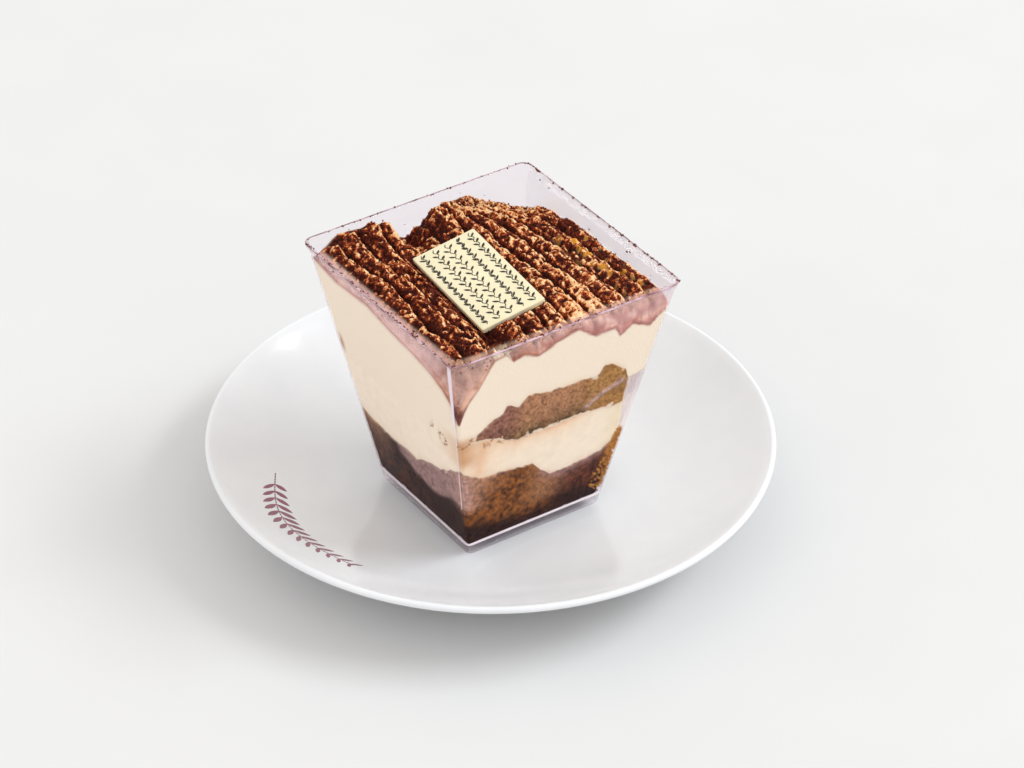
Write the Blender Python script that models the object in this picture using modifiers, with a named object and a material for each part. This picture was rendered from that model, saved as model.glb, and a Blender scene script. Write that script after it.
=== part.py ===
"""Tiramisu served in a clear square cup on a round white plate.

A thin-walled, tapered plastic cup stands on a coupe plate. It holds four layers. From the floor up they
are a coffee-soaked sponge, a cream, a second sponge that stops short of one wall, and a deep cream whose
top is piped in ridges. A thin white chocolate tag lies on the ridges. An air pocket is left in one corner.

Lengths are in metres. The plate stands on z = 0 with its axis on the z axis. The cup and all it holds are
placed under the empty "cup_place", in the cup's own frame: x and y from the cup's axis, along its sides,
and z from its foot. The corner at -x, -y is the front corner, and the one at +x, -y the right corner.
"""

import math

import bmesh
import bpy

MM = 0.001

# Plate
PLATE_RADIUS = 79.6 * MM
PLATE_HEIGHT = 21.6 * MM
WELL_RADIUS = 38.0 * MM
WELL_TOP = 6.8 * MM
RIM_ROUND = 1.5 * MM
RIM_SLOPE = math.radians(33.0)
UNDERSIDE_START = 3.6 * MM
FOOT_RADIUS = 46.0 * MM
FOOT_WIDTH = 3.6 * MM
FOOT_EDGE = 0.6 * MM
FOOT_RECESS = 2.8 * MM
PLATE_TURN_STEPS = 56

# Cup
CUP_PLACE = (-4.2 * MM, -5.8 * MM)
CUP_HEIGHT = 76.2 * MM
CUP_FOOT_HALF = 21.8 * MM
CUP_TOP_HALF = 36.3 * MM
CUP_WALL = 0.9 * MM
CUP_CORNER = 1.5 * MM
CUP_CORNER_STEPS = 4
CUP_FLOOR_TOP = 3.4 * MM
CUP_FLOOR = 1.3 * MM
LIP_HALF = 37.0 * MM
LIP_DEPTH = 1.3 * MM
LIP_ROUND = 0.35 * MM
WALL_SLOPE = (CUP_TOP_HALF - CUP_FOOT_HALF) / CUP_HEIGHT

# Layers
GAP = 0.3 * MM
SOAKED_LEVEL = 21.0 * MM
FILLING_LEVEL = 38.5 * MM
SPONGE_THICKNESS = 13.4 * MM
SPONGE_EDGE = -24.5 * MM
PIPED_LEVEL = 72.2 * MM
PIPED_EDGE_DROP = 4.2 * MM
RIDGE_PITCH = 6.3 * MM
RIDGE_DEPTH = 2.4 * MM
RIDGE_PHASE = 26.0 * MM
FAN_START = (5.0 * MM, 33.0 * MM)
FAN_REACH = 17.0 * MM
POCKET_RADII = (1.0 * MM, 7.5 * MM)
POCKET_LEVELS = (22.0 * MM, 46.0 * MM)

# Chocolate tag
TAG_SIZE = (19.4 * MM, 38.8 * MM, 1.5 * MM)
TAG_PLACE = (-5.3 * MM, -1.9 * MM, 72.9 * MM)
TAG_TURN = (math.radians(0.5), math.radians(-11.4), math.radians(-4.7))
TAG_ROUND = 0.2 * MM


def clear_scene():
    """Remove every object of the scene."""
    for thing in list(bpy.data.objects):
        bpy.data.objects.remove(thing, do_unlink=True)


def new_collection(name):
    """A collection of this name, linked to the scene."""
    collection = bpy.data.collections.new(name)
    bpy.context.scene.collection.children.link(collection)
    return collection


def material(name, color, roughness, metallic=0.0):
    """A Principled material of one colour."""
    made = bpy.data.materials.new(name)
    made.use_nodes = True
    shader = made.node_tree.nodes["Principled BSDF"]
    shader.inputs["Base Color"].default_value = (*color, 1.0)
    shader.inputs["Roughness"].default_value = roughness
    shader.inputs["Metallic"].default_value = metallic
    return made


def add_object(name, form, collection, parent=None):
    """An object from a bmesh, which is freed."""
    mesh = bpy.data.meshes.new(name)
    form.to_mesh(mesh)
    form.free()
    made = bpy.data.objects.new(name, mesh)
    collection.objects.link(made)
    made.parent = parent
    return made


def as_cutter(thing):
    """Mark an object as a cutter, which isn't rendered."""
    thing.hide_render = True
    thing.display_type = "WIRE"
    return thing


def combine(thing, operation, other):
    """A Boolean modifier that joins, cuts or keeps by another object."""
    step = thing.modifiers.new(f"{operation.lower()} {other.name}", "BOOLEAN")
    step.operation = operation
    step.solver = "EXACT"
    step.object = other


def hill(distance, reach):
    """A rounded hill: 1 at its middle, 0.37 one reach away."""
    return math.exp(-((distance / reach) ** 2))


def fade(distance, reach):
    """A steep start that fades: 1 at distance 0, 0.37 one reach away."""
    return math.exp(-max(distance, 0.0) / reach)


def ramp(value):
    """A smooth step from 0 at 0 to 1 at 1."""
    t = min(max(value, 0.0), 1.0)
    return t * t * (3.0 - 2.0 * t)


def wall_half(z, inset=0.0):
    """Half the cup's width at height z, on the surface this far inside the outer one."""
    return CUP_FOOT_HALF + WALL_SLOPE * z - inset * math.hypot(1.0, WALL_SLOPE)


# Heights of the layers over the cup's plan


def soaked_top(x, y):
    """The soaked sponge: highest in the front corner, humped and dipped along the wall at -y."""
    half = wall_half(SOAKED_LEVEL, CUP_WALL)
    from_front = math.hypot(x + half, y + half)
    from_right = math.hypot(x - half, y + half)
    z = SOAKED_LEVEL + 12.0 * MM * fade(from_front, 12.0 * MM) + 4.0 * MM * fade(from_right, 6.0 * MM)
    z += 3.6 * MM * hill(math.hypot(x + 8.0 * MM, 0.6 * (y + half)), 6.0 * MM)
    z -= 2.8 * MM * hill(math.hypot(x - 7.0 * MM, 0.6 * (y + half)), 6.0 * MM)
    return z + 0.6 * MM * math.sin(x / (3.4 * MM)) * math.cos(y / (4.3 * MM))


def filling_top(x, y):
    """The lower cream: nearly level, a little higher in the front corner."""
    half = wall_half(FILLING_LEVEL, CUP_WALL)
    from_front = math.hypot(x + half, y + half)
    z = FILLING_LEVEL + 5.0 * MM * fade(from_front, 14.0 * MM)
    return z + 0.5 * MM * math.sin(x / (4.1 * MM) + 1.0) * math.cos(y / (5.0 * MM))


def sponge_top(x, y):
    """The upper sponge: its thickness over the lower cream, none past its edge at -x or in the right corner."""
    half = wall_half(FILLING_LEVEL + SPONGE_THICKNESS, CUP_WALL)
    edge = SPONGE_EDGE - 4.5 * MM * ramp((y + 10.0 * MM) / (40.0 * MM))
    from_right = math.hypot(x - half, y + half)
    fullness = ramp((x - edge) / (9.0 * MM)) * ramp((from_right - 5.0 * MM) / (4.0 * MM))
    waves = 1.0 * MM * math.sin(x / (2.6 * MM)) * math.cos(y / (3.7 * MM))
    return filling_top(x, y) + (SPONGE_THICKNESS + waves) * fullness


def ridge_wave(x, y):
    """The piped ridges, 0 in a trough and 1 on a crest.

    They run along y at an even pitch. Those at +x start from one point at the wall at +y and fan out.
    """
    start_x, start_y = FAN_START
    if x > start_x:
        x = start_x + (x - start_x) / max(math.tanh((start_y - y) / FAN_REACH), 0.3)
    return 0.5 + 0.5 * math.cos(2.0 * math.pi * (x - RIDGE_PHASE) / RIDGE_PITCH)


def piped_top(x, y):
    """The upper cream: ridges, a drop to the walls, a valley from the wall at +y and low corners."""
    half = wall_half(PIPED_LEVEL, CUP_WALL)
    from_wall = min(half - abs(x), half - abs(y))
    z = PIPED_LEVEL + RIDGE_DEPTH * ridge_wave(x, y) * ramp(from_wall / (4.0 * MM))
    z -= PIPED_EDGE_DROP * fade(from_wall, 2.2 * MM)
    z += 2.6 * MM * hill(math.hypot(0.5 * (x + 20.0 * MM), y - half), 8.0 * MM)
    z -= 6.0 * MM * hill(x + 3.5 * MM, 4.0 * MM) * ramp((y - 8.0 * MM) / (20.0 * MM))
    z -= 3.0 * MM * hill(x + 18.0 * MM, 2.2 * MM) * ramp(-(y + 17.0 * MM) / (7.0 * MM))
    z -= 15.0 * MM * fade(math.hypot(x + half, y + half), 7.0 * MM)
    z -= 3.5 * MM * fade(math.hypot(x - half, y + half), 6.0 * MM)
    z -= 7.0 * MM * fade(math.hypot(x - half, y - half), 10.0 * MM)
    return z


# Shapes


def tapered_block(name, halves, levels, corner, collection, parent):
    """A square block that widens upwards, with its four upright edges rounded."""
    form = bmesh.new()
    bmesh.ops.create_cube(form, size=2.0)
    for vert in form.verts:
        upper = vert.co.z > 0.0
        half = halves[1] if upper else halves[0]
        vert.co.x *= half
        vert.co.y *= half
        vert.co.z = levels[1] if upper else levels[0]
    upright = [edge for edge in form.edges if abs(edge.verts[0].co.z - edge.verts[1].co.z) > MM]
    bmesh.ops.bevel(
        form, geom=upright, offset=corner, segments=CUP_CORNER_STEPS, profile=0.5, affect="EDGES"
    )
    return add_object(name, form, collection, parent)


def slab(name, low, top, half, counts, collection, parent):
    """A block from a flat underside up to the surface top(x, y), on a grid that spans twice half."""
    form = bmesh.new()
    bmesh.ops.create_grid(form, x_segments=counts[0], y_segments=counts[1], size=half)
    bmesh.ops.triangulate(form, faces=form.faces[:])
    raised = bmesh.ops.extrude_face_region(form, geom=form.faces[:], use_keep_orig=True)
    upper = {item for item in raised["geom"] if isinstance(item, bmesh.types.BMVert)}
    for vert in form.verts:
        vert.co.z = top(vert.co.x, vert.co.y) if vert in upper else low
    bmesh.ops.recalc_face_normals(form, faces=form.faces[:])
    return add_object(name, form, collection, parent)


def plate_profile():
    """The plate's section: well, rising side, round rim, underside, foot ring and recess."""
    middle = (PLATE_RADIUS - RIM_ROUND, PLATE_HEIGHT - RIM_ROUND)
    start = math.pi / 2 + RIM_SLOPE
    arc = [start - math.pi * step / 5 for step in range(6)]
    rim = [(middle[0] + RIM_ROUND * math.cos(a), middle[1] + RIM_ROUND * math.sin(a)) for a in arc]
    side = []
    for step in range(7):
        t = step / 7
        side.append((WELL_RADIUS + (rim[0][0] - WELL_RADIUS) * t, WELL_TOP + (rim[0][1] - WELL_TOP) * t * t))
    under = []
    for step in range(1, 6):
        t = 1 - step / 5
        r = FOOT_RADIUS + (rim[-1][0] - FOOT_RADIUS) * t
        under.append((r, UNDERSIDE_START + (rim[-1][1] - UNDERSIDE_START) * t**1.7))
    inner = FOOT_RADIUS - FOOT_WIDTH
    foot = [
        (FOOT_RADIUS - 0.3 * FOOT_EDGE, FOOT_EDGE),
        (FOOT_RADIUS - FOOT_EDGE, 0.0),
        (inner + FOOT_EDGE, 0.0),
        (inner, FOOT_EDGE),
        (inner - FOOT_EDGE, FOOT_RECESS),
    ]
    return [(0.0, WELL_TOP), *side, *rim, *under, *foot, (0.0, FOOT_RECESS)]


def make_plate(collection):
    """The coupe plate, turned about its axis."""
    form = bmesh.new()
    verts = [form.verts.new((r, 0.0, z)) for r, z in plate_profile()]
    for first, second in zip(verts, verts[1:]):
        form.edges.new((first, second))
    plate = add_object("plate", form, collection)
    turn = plate.modifiers.new("turn", "SCREW")
    turn.steps = PLATE_TURN_STEPS
    turn.render_steps = PLATE_TURN_STEPS
    turn.use_merge_vertices = True
    turn.merge_threshold = 0.00001
    turn.use_smooth_shade = True
    plate.data.materials.append(material("glazed_porcelain", (0.86, 0.86, 0.86), 0.12))


def make_cup(parts, cutters, place):
    """The cup: a tapered block with a lip, hollowed from above and recessed under its floor."""
    lip_low = CUP_HEIGHT - LIP_DEPTH
    body_top = CUP_HEIGHT - LIP_DEPTH / 2
    cup = tapered_block(
        "cup", (CUP_FOOT_HALF, wall_half(body_top)), (0.0, body_top), CUP_CORNER, parts, place
    )
    lip = tapered_block(
        "cup_lip", (LIP_HALF, LIP_HALF), (lip_low, CUP_HEIGHT), CUP_CORNER, cutters, place
    )
    edges = lip.modifiers.new("rounded edges", "BEVEL")
    edges.width = LIP_ROUND
    edges.segments = 2
    edges.limit_method = "ANGLE"
    edges.angle_limit = math.radians(60.0)
    combine(cup, "UNION", as_cutter(lip))
    over = CUP_HEIGHT + 5.0 * MM
    hollow = tapered_block(
        "cup_hollow",
        (wall_half(CUP_FLOOR_TOP, CUP_WALL), wall_half(over, CUP_WALL)),
        (CUP_FLOOR_TOP, over),
        CUP_CORNER - CUP_WALL,
        cutters,
        place,
    )
    combine(cup, "DIFFERENCE", as_cutter(hollow))
    under = -5.0 * MM
    recess_top = CUP_FLOOR_TOP - CUP_FLOOR
    recess = tapered_block(
        "cup_recess",
        (wall_half(under, CUP_WALL), wall_half(recess_top, CUP_WALL)),
        (under, recess_top),
        CUP_CORNER - CUP_WALL,
        cutters,
        place,
    )
    combine(cup, "DIFFERENCE", as_cutter(recess))
    cup.data.materials.append(material("clear_plastic", (0.90, 0.88, 0.92), 0.05))


def make_contents_limits(cutters, place):
    """The space the food may fill: the cup's hollow less a gap, and the air pocket in the right corner."""
    inset = CUP_WALL + GAP
    levels = (CUP_FLOOR_TOP + GAP, CUP_HEIGHT + 5.0 * MM)
    space = tapered_block(
        "food_space",
        (wall_half(levels[0], inset), wall_half(levels[1], inset)),
        levels,
        CUP_CORNER - inset,
        cutters,
        place,
    )
    form = bmesh.new()
    bmesh.ops.create_cone(
        form,
        cap_ends=True,
        segments=24,
        radius1=POCKET_RADII[0],
        radius2=POCKET_RADII[1],
        depth=POCKET_LEVELS[1] - POCKET_LEVELS[0],
    )
    pocket = add_object("air_pocket", form, cutters, place)
    pocket_z = sum(POCKET_LEVELS) / 2
    corner = wall_half(POCKET_LEVELS[1], CUP_WALL)
    pocket.location = (corner, -corner, pocket_z)
    return as_cutter(space), as_cutter(pocket)


def make_layer(name, top, half, counts, under, limits, look, parts, place):
    """One layer: everything in the food space below its top surface and above what lies under it."""
    space, pocket = limits
    layer = slab(name, -5.0 * MM, top, half, counts, parts, place)
    combine(layer, "INTERSECT", space)
    if under:
        combine(layer, "DIFFERENCE", under)
        combine(layer, "DIFFERENCE", pocket)
    layer.data.materials.append(look)
    return layer


def make_step(name, top, half, counts, cutters, place):
    """A cutter up to one gap over a layer's top, on the same grid as that layer."""
    return as_cutter(
        slab(name, -10.0 * MM, lambda x, y: top(x, y) + GAP, half, counts, cutters, place)
    )


def make_layers(parts, cutters, place):
    """The four layers. Each is cut from below by the top of the one under it, raised by the gap."""
    limits = make_contents_limits(cutters, place)
    low_half, low_counts = 30.0 * MM, (15, 15)
    mid_half, mid_counts = 33.0 * MM, (20, 20)
    top_half, top_counts = 37.5 * MM, (56, 15)
    cream = material("mascarpone_cream", (0.88, 0.76, 0.60), 0.45)
    soaked = material("soaked_sponge", (0.09, 0.035, 0.015), 0.4)
    sponge = material("coffee_sponge", (0.36, 0.22, 0.12), 0.8)
    over_soaked = make_step("over_soaked", soaked_top, low_half, low_counts, cutters, place)
    over_filling = make_step("over_filling", filling_top, mid_half, mid_counts, cutters, place)
    over_sponge = make_step("over_sponge", sponge_top, mid_half, mid_counts, cutters, place)
    make_layer("sponge_lower", soaked_top, low_half, low_counts, None, limits, soaked, parts, place)
    make_layer("cream_lower", filling_top, mid_half, mid_counts, over_soaked, limits, cream, parts, place)
    make_layer("sponge_upper", sponge_top, mid_half, mid_counts, over_filling, limits, sponge, parts, place)
    return make_layer(
        "cream_upper", piped_top, top_half, top_counts, over_sponge, limits, cream, parts, place
    )


def tag_block(name, size, lift, collection, place):
    """A flat block in the tag's place, moved along its own normal by lift."""
    form = bmesh.new()
    bmesh.ops.create_cube(form, size=1.0)
    bmesh.ops.scale(form, vec=size, verts=form.verts[:])
    bmesh.ops.translate(form, vec=(0.0, 0.0, lift), verts=form.verts[:])
    block = add_object(name, form, collection, place)
    block.location = TAG_PLACE
    block.rotation_euler = TAG_TURN
    return block


def make_tag(cream, parts, cutters, place):
    """The white chocolate tag, and the dent that it presses into the cream."""
    tag = tag_block("chocolate_tag", TAG_SIZE, 0.0, parts, place)
    edges = tag.modifiers.new("rounded edges", "BEVEL")
    edges.width = TAG_ROUND
    edges.segments = 2
    tag.data.materials.append(material("white_chocolate", (0.86, 0.80, 0.58), 0.35))
    dent_height = 12.0 * MM
    dent_size = (TAG_SIZE[0] + 2 * GAP, TAG_SIZE[1] + 2 * GAP, dent_height)
    lift = dent_height / 2 - TAG_SIZE[2] / 2 - GAP
    dent = tag_block("tag_dent", dent_size, lift, cutters, place)
    combine(cream, "DIFFERENCE", as_cutter(dent))


def main():
    clear_scene()
    parts = new_collection("tiramisu")
    cutters = new_collection("cutters")
    place = bpy.data.objects.new("cup_place", None)
    parts.objects.link(place)
    place.location = (*CUP_PLACE, WELL_TOP + GAP)
    make_plate(parts)
    make_cup(parts, cutters, place)
    cream = make_layers(parts, cutters, place)
    make_tag(cream, parts, cutters, place)


main()
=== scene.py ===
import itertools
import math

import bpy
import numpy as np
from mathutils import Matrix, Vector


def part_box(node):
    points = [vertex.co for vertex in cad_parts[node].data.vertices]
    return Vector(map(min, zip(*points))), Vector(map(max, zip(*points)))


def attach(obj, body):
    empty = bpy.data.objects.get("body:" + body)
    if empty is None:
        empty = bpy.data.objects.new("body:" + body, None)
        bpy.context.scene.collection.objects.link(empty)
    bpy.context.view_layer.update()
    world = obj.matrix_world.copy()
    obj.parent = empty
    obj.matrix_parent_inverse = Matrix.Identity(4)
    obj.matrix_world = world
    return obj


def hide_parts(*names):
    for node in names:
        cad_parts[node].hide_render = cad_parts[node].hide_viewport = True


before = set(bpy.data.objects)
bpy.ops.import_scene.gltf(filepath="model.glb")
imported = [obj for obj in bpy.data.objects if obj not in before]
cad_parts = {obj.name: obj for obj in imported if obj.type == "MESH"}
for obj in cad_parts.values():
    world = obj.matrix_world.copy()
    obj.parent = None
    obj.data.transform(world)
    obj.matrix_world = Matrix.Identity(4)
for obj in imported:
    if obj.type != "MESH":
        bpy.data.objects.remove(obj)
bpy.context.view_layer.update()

# Looks of a tiramisu in a clear square cup on a white plate.
#
# Shapes are worked out in millimetres in the cup's own frame: x and y from the cup's axis, along its
# sides, and z from its foot. The corner at -x, -y is the front corner. A place round the walls is a number
# from 0 to 4: it is 0 at the front corner, 1 at the right one, 2 at the back one and 3 at the left one.

MM = 0.001

# The cup stands where the CAD cup stands
CUP_LOW, CUP_HIGH = (np.array(corner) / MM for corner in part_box("cup"))
CUP_PLACE = np.array([(CUP_LOW[0] + CUP_HIGH[0]) / 2, (CUP_LOW[1] + CUP_HIGH[1]) / 2, CUP_LOW[2]])
CUP_HEIGHT = CUP_HIGH[2] - CUP_LOW[2]
LIP_HALF = (CUP_HIGH[0] - CUP_LOW[0]) / 2
FOOT_HALF, TOP_HALF = 21.8, 36.3
SLOPE = (TOP_HALF - FOOT_HALF) / CUP_HEIGHT
WALL = 0.9
CORNER = 1.5
FLOOR_TOP, FLOOR = 3.4, 1.3
LIP_DEPTH, LIP_ROUND, LIP_CORNER, FLARE_START = 1.3, 0.35, 1.7, 72.6

# The plate
PLATE_LOW, PLATE_HIGH = (np.array(corner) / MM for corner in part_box("plate"))
PLATE_RADIUS = (PLATE_HIGH[0] - PLATE_LOW[0]) / 2
PLATE_HEIGHT = PLATE_HIGH[2]
WELL_RADIUS, WELL_TOP = 38.0, 6.8
RIM_ROUND, RIM_SLOPE = 1.0, math.radians(33.0)
FOOT_RADIUS, FOOT_WIDTH, FOOT_EDGE, FOOT_RECESS, UNDERSIDE_START = 46.0, 3.6, 0.6, 2.8, 3.6

# How far the food reaches into the plastic; what reaches further is seen in front
SPONGE_IN_WALL, CREAM_IN_WALL, FILLING_IN_WALL = 0.34, 0.28, 0.25

# A line of sight over the edge of the wall at -y, and of the one at -x, drops this much for each mm inwards
SIGHT_DROP = (0.85, 1.24)

# The piped top
PIPED_LEVEL = 72.2
ROPE_PITCH, ROPE_PHASE, ROPE_DEPTH = 6.3, 26.0, 3.4
FAN_START, FAN_REACH = (5.0, 33.0), 17.0
PLEAT_PITCH = 4.6

PIPED_GRID = 240
SPONGE_EDGE = -24.5
CREAM_COLOUR = "#F9EED5"

# The chocolate tag
TAG_SIZE = (19.4, 38.8, 1.5)
TAG_PLACE = (-5.3, -1.9, 72.9)
TAG_TURN = (0.5, -11.4, -4.7)
TAG_ROUND = 0.25

# Lines along the walls: (wall, distance along it from its middle, height). Wall 0 runs from the front
# corner to the right one, wall 1 on to the back one, and so on.
CREAM_LINE = (
    (0, -30.6, 53.0), (0, -29.7, 57.2), (0, -28.6, 60.2), (0, -26.0, 64.0), (0, -23.7, 69.0), (0, -22.0, 72.5), (0, -18.5, 73.0),
    (0, -16.0, 69.5), (0, -12.5, 70.2), (0, -7.7, 67.9), (0, -2.0, 70.5), (0, 4.4, 72.0), (0, 10.4, 67.3),
    (0, 17.0, 67.2), (0, 19.0, 63.6), (0, 22.7, 66.4), (0, 28.8, 63.4), (0, 32.5, 67.0),
    (1, -26.0, 69.5), (1, 6.0, 69.5), (1, 20.0, 66.0), (1, 32.0, 60.5),
    (2, -26.0, 66.0), (2, -16.0, 73.0), (2, -7.0, 73.4), (2, -3.5, 70.0), (2, 0.0, 66.0), (2, 5.0, 65.5),
    (2, 9.0, 70.5), (2, 12.0, 74.0), (2, 26.0, 75.2), (2, 32.5, 71.5),
    (3, -24.0, 69.2), (3, -8.0, 70.4), (3, 2.0, 68.2), (3, 15.0, 66.4), (3, 21.0, 64.7), (3, 26.0, 62.1),
    (3, 28.5, 59.4), (3, 29.8, 56.0), (3, 30.6, 53.0),
)
SPONGE_TOP_LINE = (
    (0, -24.0, 45.5), (0, -20.6, 49.4), (0, -16.8, 50.0), (0, -15.8, 53.0), (0, -11.6, 51.2), (0, -9.0, 54.0),
    (0, -1.4, 52.0), (0, 7.0, 52.2), (0, 13.8, 50.6), (0, 15.4, 54.3), (0, 19.5, 52.6), (0, 23.0, 49.5),
    (0, 24.2, 45.0), (0, 28.5, 42.0), (1, -26.0, 42.0), (1, -22.0, 49.0), (1, -8.0, 52.0), (1, 8.0, 50.0), (1, 24.0, 52.5),
    (2, -22.0, 51.0), (2, -4.0, 53.0), (2, 12.0, 50.0), (2, 24.0, 47.0), (3, 0.0, 44.0),
)
FILLING_LINE = (
    (0, -29.0, 44.0), (0, -22.9, 44.2), (0, -16.5, 42.2), (0, -10.9, 38.8), (0, -7.0, 39.6), (0, 1.0, 38.5),
    (0, 9.8, 39.2), (0, 16.2, 38.1), (0, 23.4, 37.4), (1, -15.0, 38.5), (1, 10.0, 37.5), (2, -18.0, 38.5),
    (2, 10.0, 39.0), (2, 26.0, 42.0), (3, -15.0, 42.0), (3, 15.0, 42.0),
)
SOAKED_LINE = (
    (0, -28.0, 33.0), (0, -21.3, 28.8), (0, -11.4, 27.6), (0, -3.8, 26.0), (0, -0.5, 21.8), (0, 5.7, 18.6),
    (0, 12.0, 19.8), (0, 19.1, 20.9), (0, 24.5, 25.0), (1, -18.0, 22.0), (1, -4.0, 25.5), (1, 12.0, 21.5),
    (2, -18.0, 24.0), (2, -2.0, 20.5), (2, 14.0, 23.0), (3, -24.0, 23.0), (3, -12.0, 21.2), (3, 2.0, 22.0),
    (3, 9.0, 24.9), (3, 15.0, 26.8), (3, 23.0, 31.2),
)


# A smear of cream over the upper sponge on wall 0: (distance along the wall, height)
CREAM_SMEAR = ((10.9, 40.6), (17.2, 44.1), (23.5, 46.1))


# Plain sums


def fade(distance, reach):
    """A steep start that fades: e to the power of minus the distance in reaches."""
    return np.exp(-np.maximum(distance, 0.0) / reach)


def hill(distance, reach):
    """A rounded hill: e to the power of minus the square of the distance in reaches."""
    return np.exp(-((distance / reach) ** 2))


def ramp(value, low=0.0, high=1.0):
    """A smooth step from 0 at low to 1 at high: 3t squared less 2t cubed."""
    t = np.clip((value - low) / (high - low), 0.0, 1.0)
    return t * t * (3.0 - 2.0 * t)


def blend(a, b, share):
    """a where share is 0, b where it is 1, in proportion between."""
    return a + (b - a) * share


def scrambled(cell, seed):
    """A number from 0 to 1 for each lattice cell: its whole numbers times primes, with the bits mixed."""
    primes = np.array([374761393, 668265263, 2147483647], np.uint64)[: cell.shape[-1]]
    mixed = (cell.astype(np.int64).astype(np.uint64) * primes).sum(-1) + np.uint64(seed * 144665 + 97)
    mixed = (mixed ^ (mixed >> np.uint64(13))) * np.uint64(1274126177)
    mixed = (mixed ^ (mixed >> np.uint64(16))) & np.uint64(0xFFFFFF)
    return mixed.astype(float) / float(0xFFFFFF)


def noise(points, size, seed=0):
    """Smooth noise from 0 to 1: scrambled numbers on a lattice of this size in mm, eased from one to the next."""
    lattice = np.asarray(points, float) / size
    cell = np.floor(lattice)
    share = lattice - cell
    share = share * share * (3.0 - 2.0 * share)
    total = 0.0
    for step in itertools.product((0, 1), repeat=lattice.shape[-1]):
        weight = np.prod(np.where(np.array(step) == 1, share, 1.0 - share), axis=-1)
        total = total + weight * scrambled(cell + np.array(step), seed)
    return total


def rough(points, size, octaves=3, seed=0):
    """Layers of noise, each half the size and half the strength of the one before, from -1 to 1."""
    total, strength = 0.0, 0.0
    for octave in range(octaves):
        total = total + (noise(points, size / 2**octave, seed + octave) * 2.0 - 1.0) / 2**octave
        strength += 1.0 / 2**octave
    return total / strength


def stack(*columns):
    """Columns side by side as points."""
    return np.stack(np.broadcast_arrays(*columns), axis=-1)


def blend_hex(first, second, value):
    """Colours from the first hex colour where value is low to the second where it is high, in mm."""
    return blend(linear(first), linear(second), ramp(value, -10.0, 20.0)[..., None])


def linear(hex_colour):
    """An sRGB hex colour as linear red, green and blue."""
    parts = np.array([int(hex_colour[i : i + 2], 16) / 255 for i in (1, 3, 5)])
    return np.where(parts <= 0.04045, parts / 12.92, ((parts + 0.055) / 1.055) ** 2.4)


# The cup's walls


def half_at(z, inset=0.0):
    """Half the cup's width at height z, on the surface this far inside the outer one."""
    return FOOT_HALF + SLOPE * z - inset * math.hypot(1.0, SLOPE)


def place_round(x, y):
    """The place round the walls, 0 to 4, straight outwards from a point of the plan."""
    half = np.maximum(np.maximum(np.abs(x), np.abs(y)), 1e-9)
    right, back = (x / half + 1) / 2, (y / half + 1) / 2
    place = np.where(-y >= half, right, 0.0)
    place = np.where((x >= half) & (-y < half), 1 + back, place)
    place = np.where((y >= half) & (x < half), 3 - right, place)
    return np.where((-x >= half) & (y < half) & (-y < half), 4 - back, place)


def line_height(place, line):
    """The height of a line drawn round the walls, straight from one of its points to the next."""
    places = np.array([wall + (along / half_at(z, WALL) + 1) / 2 for wall, along, z in line])
    heights = np.array([z for _, _, z in line])
    return np.interp(place, places, heights, period=4.0)


def plan(u, v, half, corner):
    """A point of the rounded square for u and v from -1 to 1: what falls past a corner's centre is drawn in
    to a quarter circle, by the larger of its two shares over their diagonal."""
    straight = half - corner
    x, y = np.abs(u) * half, np.abs(v) * half
    past_x, past_y = np.maximum(x - straight, 0.0), np.maximum(y - straight, 0.0)
    draw = np.maximum(past_x, past_y) / np.maximum(np.hypot(past_x, past_y), 1e-9)
    return (
        np.sign(u) * (np.minimum(x, straight) + past_x * draw),
        np.sign(v) * (np.minimum(y, straight) + past_y * draw),
    )


# The heights of the layers


def towards_walls(x, y, line, middle, reach, seed):
    """A height that is even in the middle and runs to a line on the walls, ragged by noise."""
    half = half_at(middle, WALL)
    from_wall = half - np.maximum(np.abs(x), np.abs(y))
    at_wall = line_height(place_round(x, y), line)
    ragged = 0.9 * rough(stack(x, y), 3.0, 3, seed) + 0.35 * rough(stack(x, y), 0.9, 2, seed + 5)
    return blend(middle, at_wall, fade(from_wall, reach)) + ragged


def soaked_top(x, y):
    """The top of the soaked sponge."""
    return towards_walls(x, y, SOAKED_LINE, 22.0, 4.0, 11)


def filling_top(x, y):
    """The top of the lower cream."""
    return towards_walls(x, y, FILLING_LINE, 38.5, 4.0, 21)


def sponge_top(x, y):
    """The top of the upper sponge."""
    return towards_walls(x, y, SPONGE_TOP_LINE, 52.0, 4.0, 31)


def rope_place(x, y):
    """The number of the rope at a point and how far across it the point is, from -1 to 1.

    Ropes run along y at an even pitch. Past the fan's start, they spread from one point at the wall at +y.
    """
    spread = np.maximum(np.tanh((FAN_START[1] - y) / FAN_REACH), 0.3)
    across = np.where(x > FAN_START[0], FAN_START[0] + (x - FAN_START[0]) / spread, x)
    across = across + 0.5 * np.sin(y / 7.0 + x / 11.0) + 1.1 * rough(stack(x, y), 12.0, 2, 39)
    number = np.round((across - ROPE_PHASE) / ROPE_PITCH)
    return number, (across - ROPE_PHASE - number * ROPE_PITCH) / (ROPE_PITCH / 2)


def swirl(x, y, centre, reach, height, flutes):
    """The start of a piped rope: a dome with flutes that run out from its top."""
    away = np.hypot(x - centre[0], y - centre[1])
    turn = np.arctan2(y - centre[1], x - centre[0]) + away / 9.0
    dome = height * hill(away, reach)
    return dome + 0.38 * np.cos(flutes * turn) * ramp(away, 1.0, 3.0) * fade(away - reach, 2.0)


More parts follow.
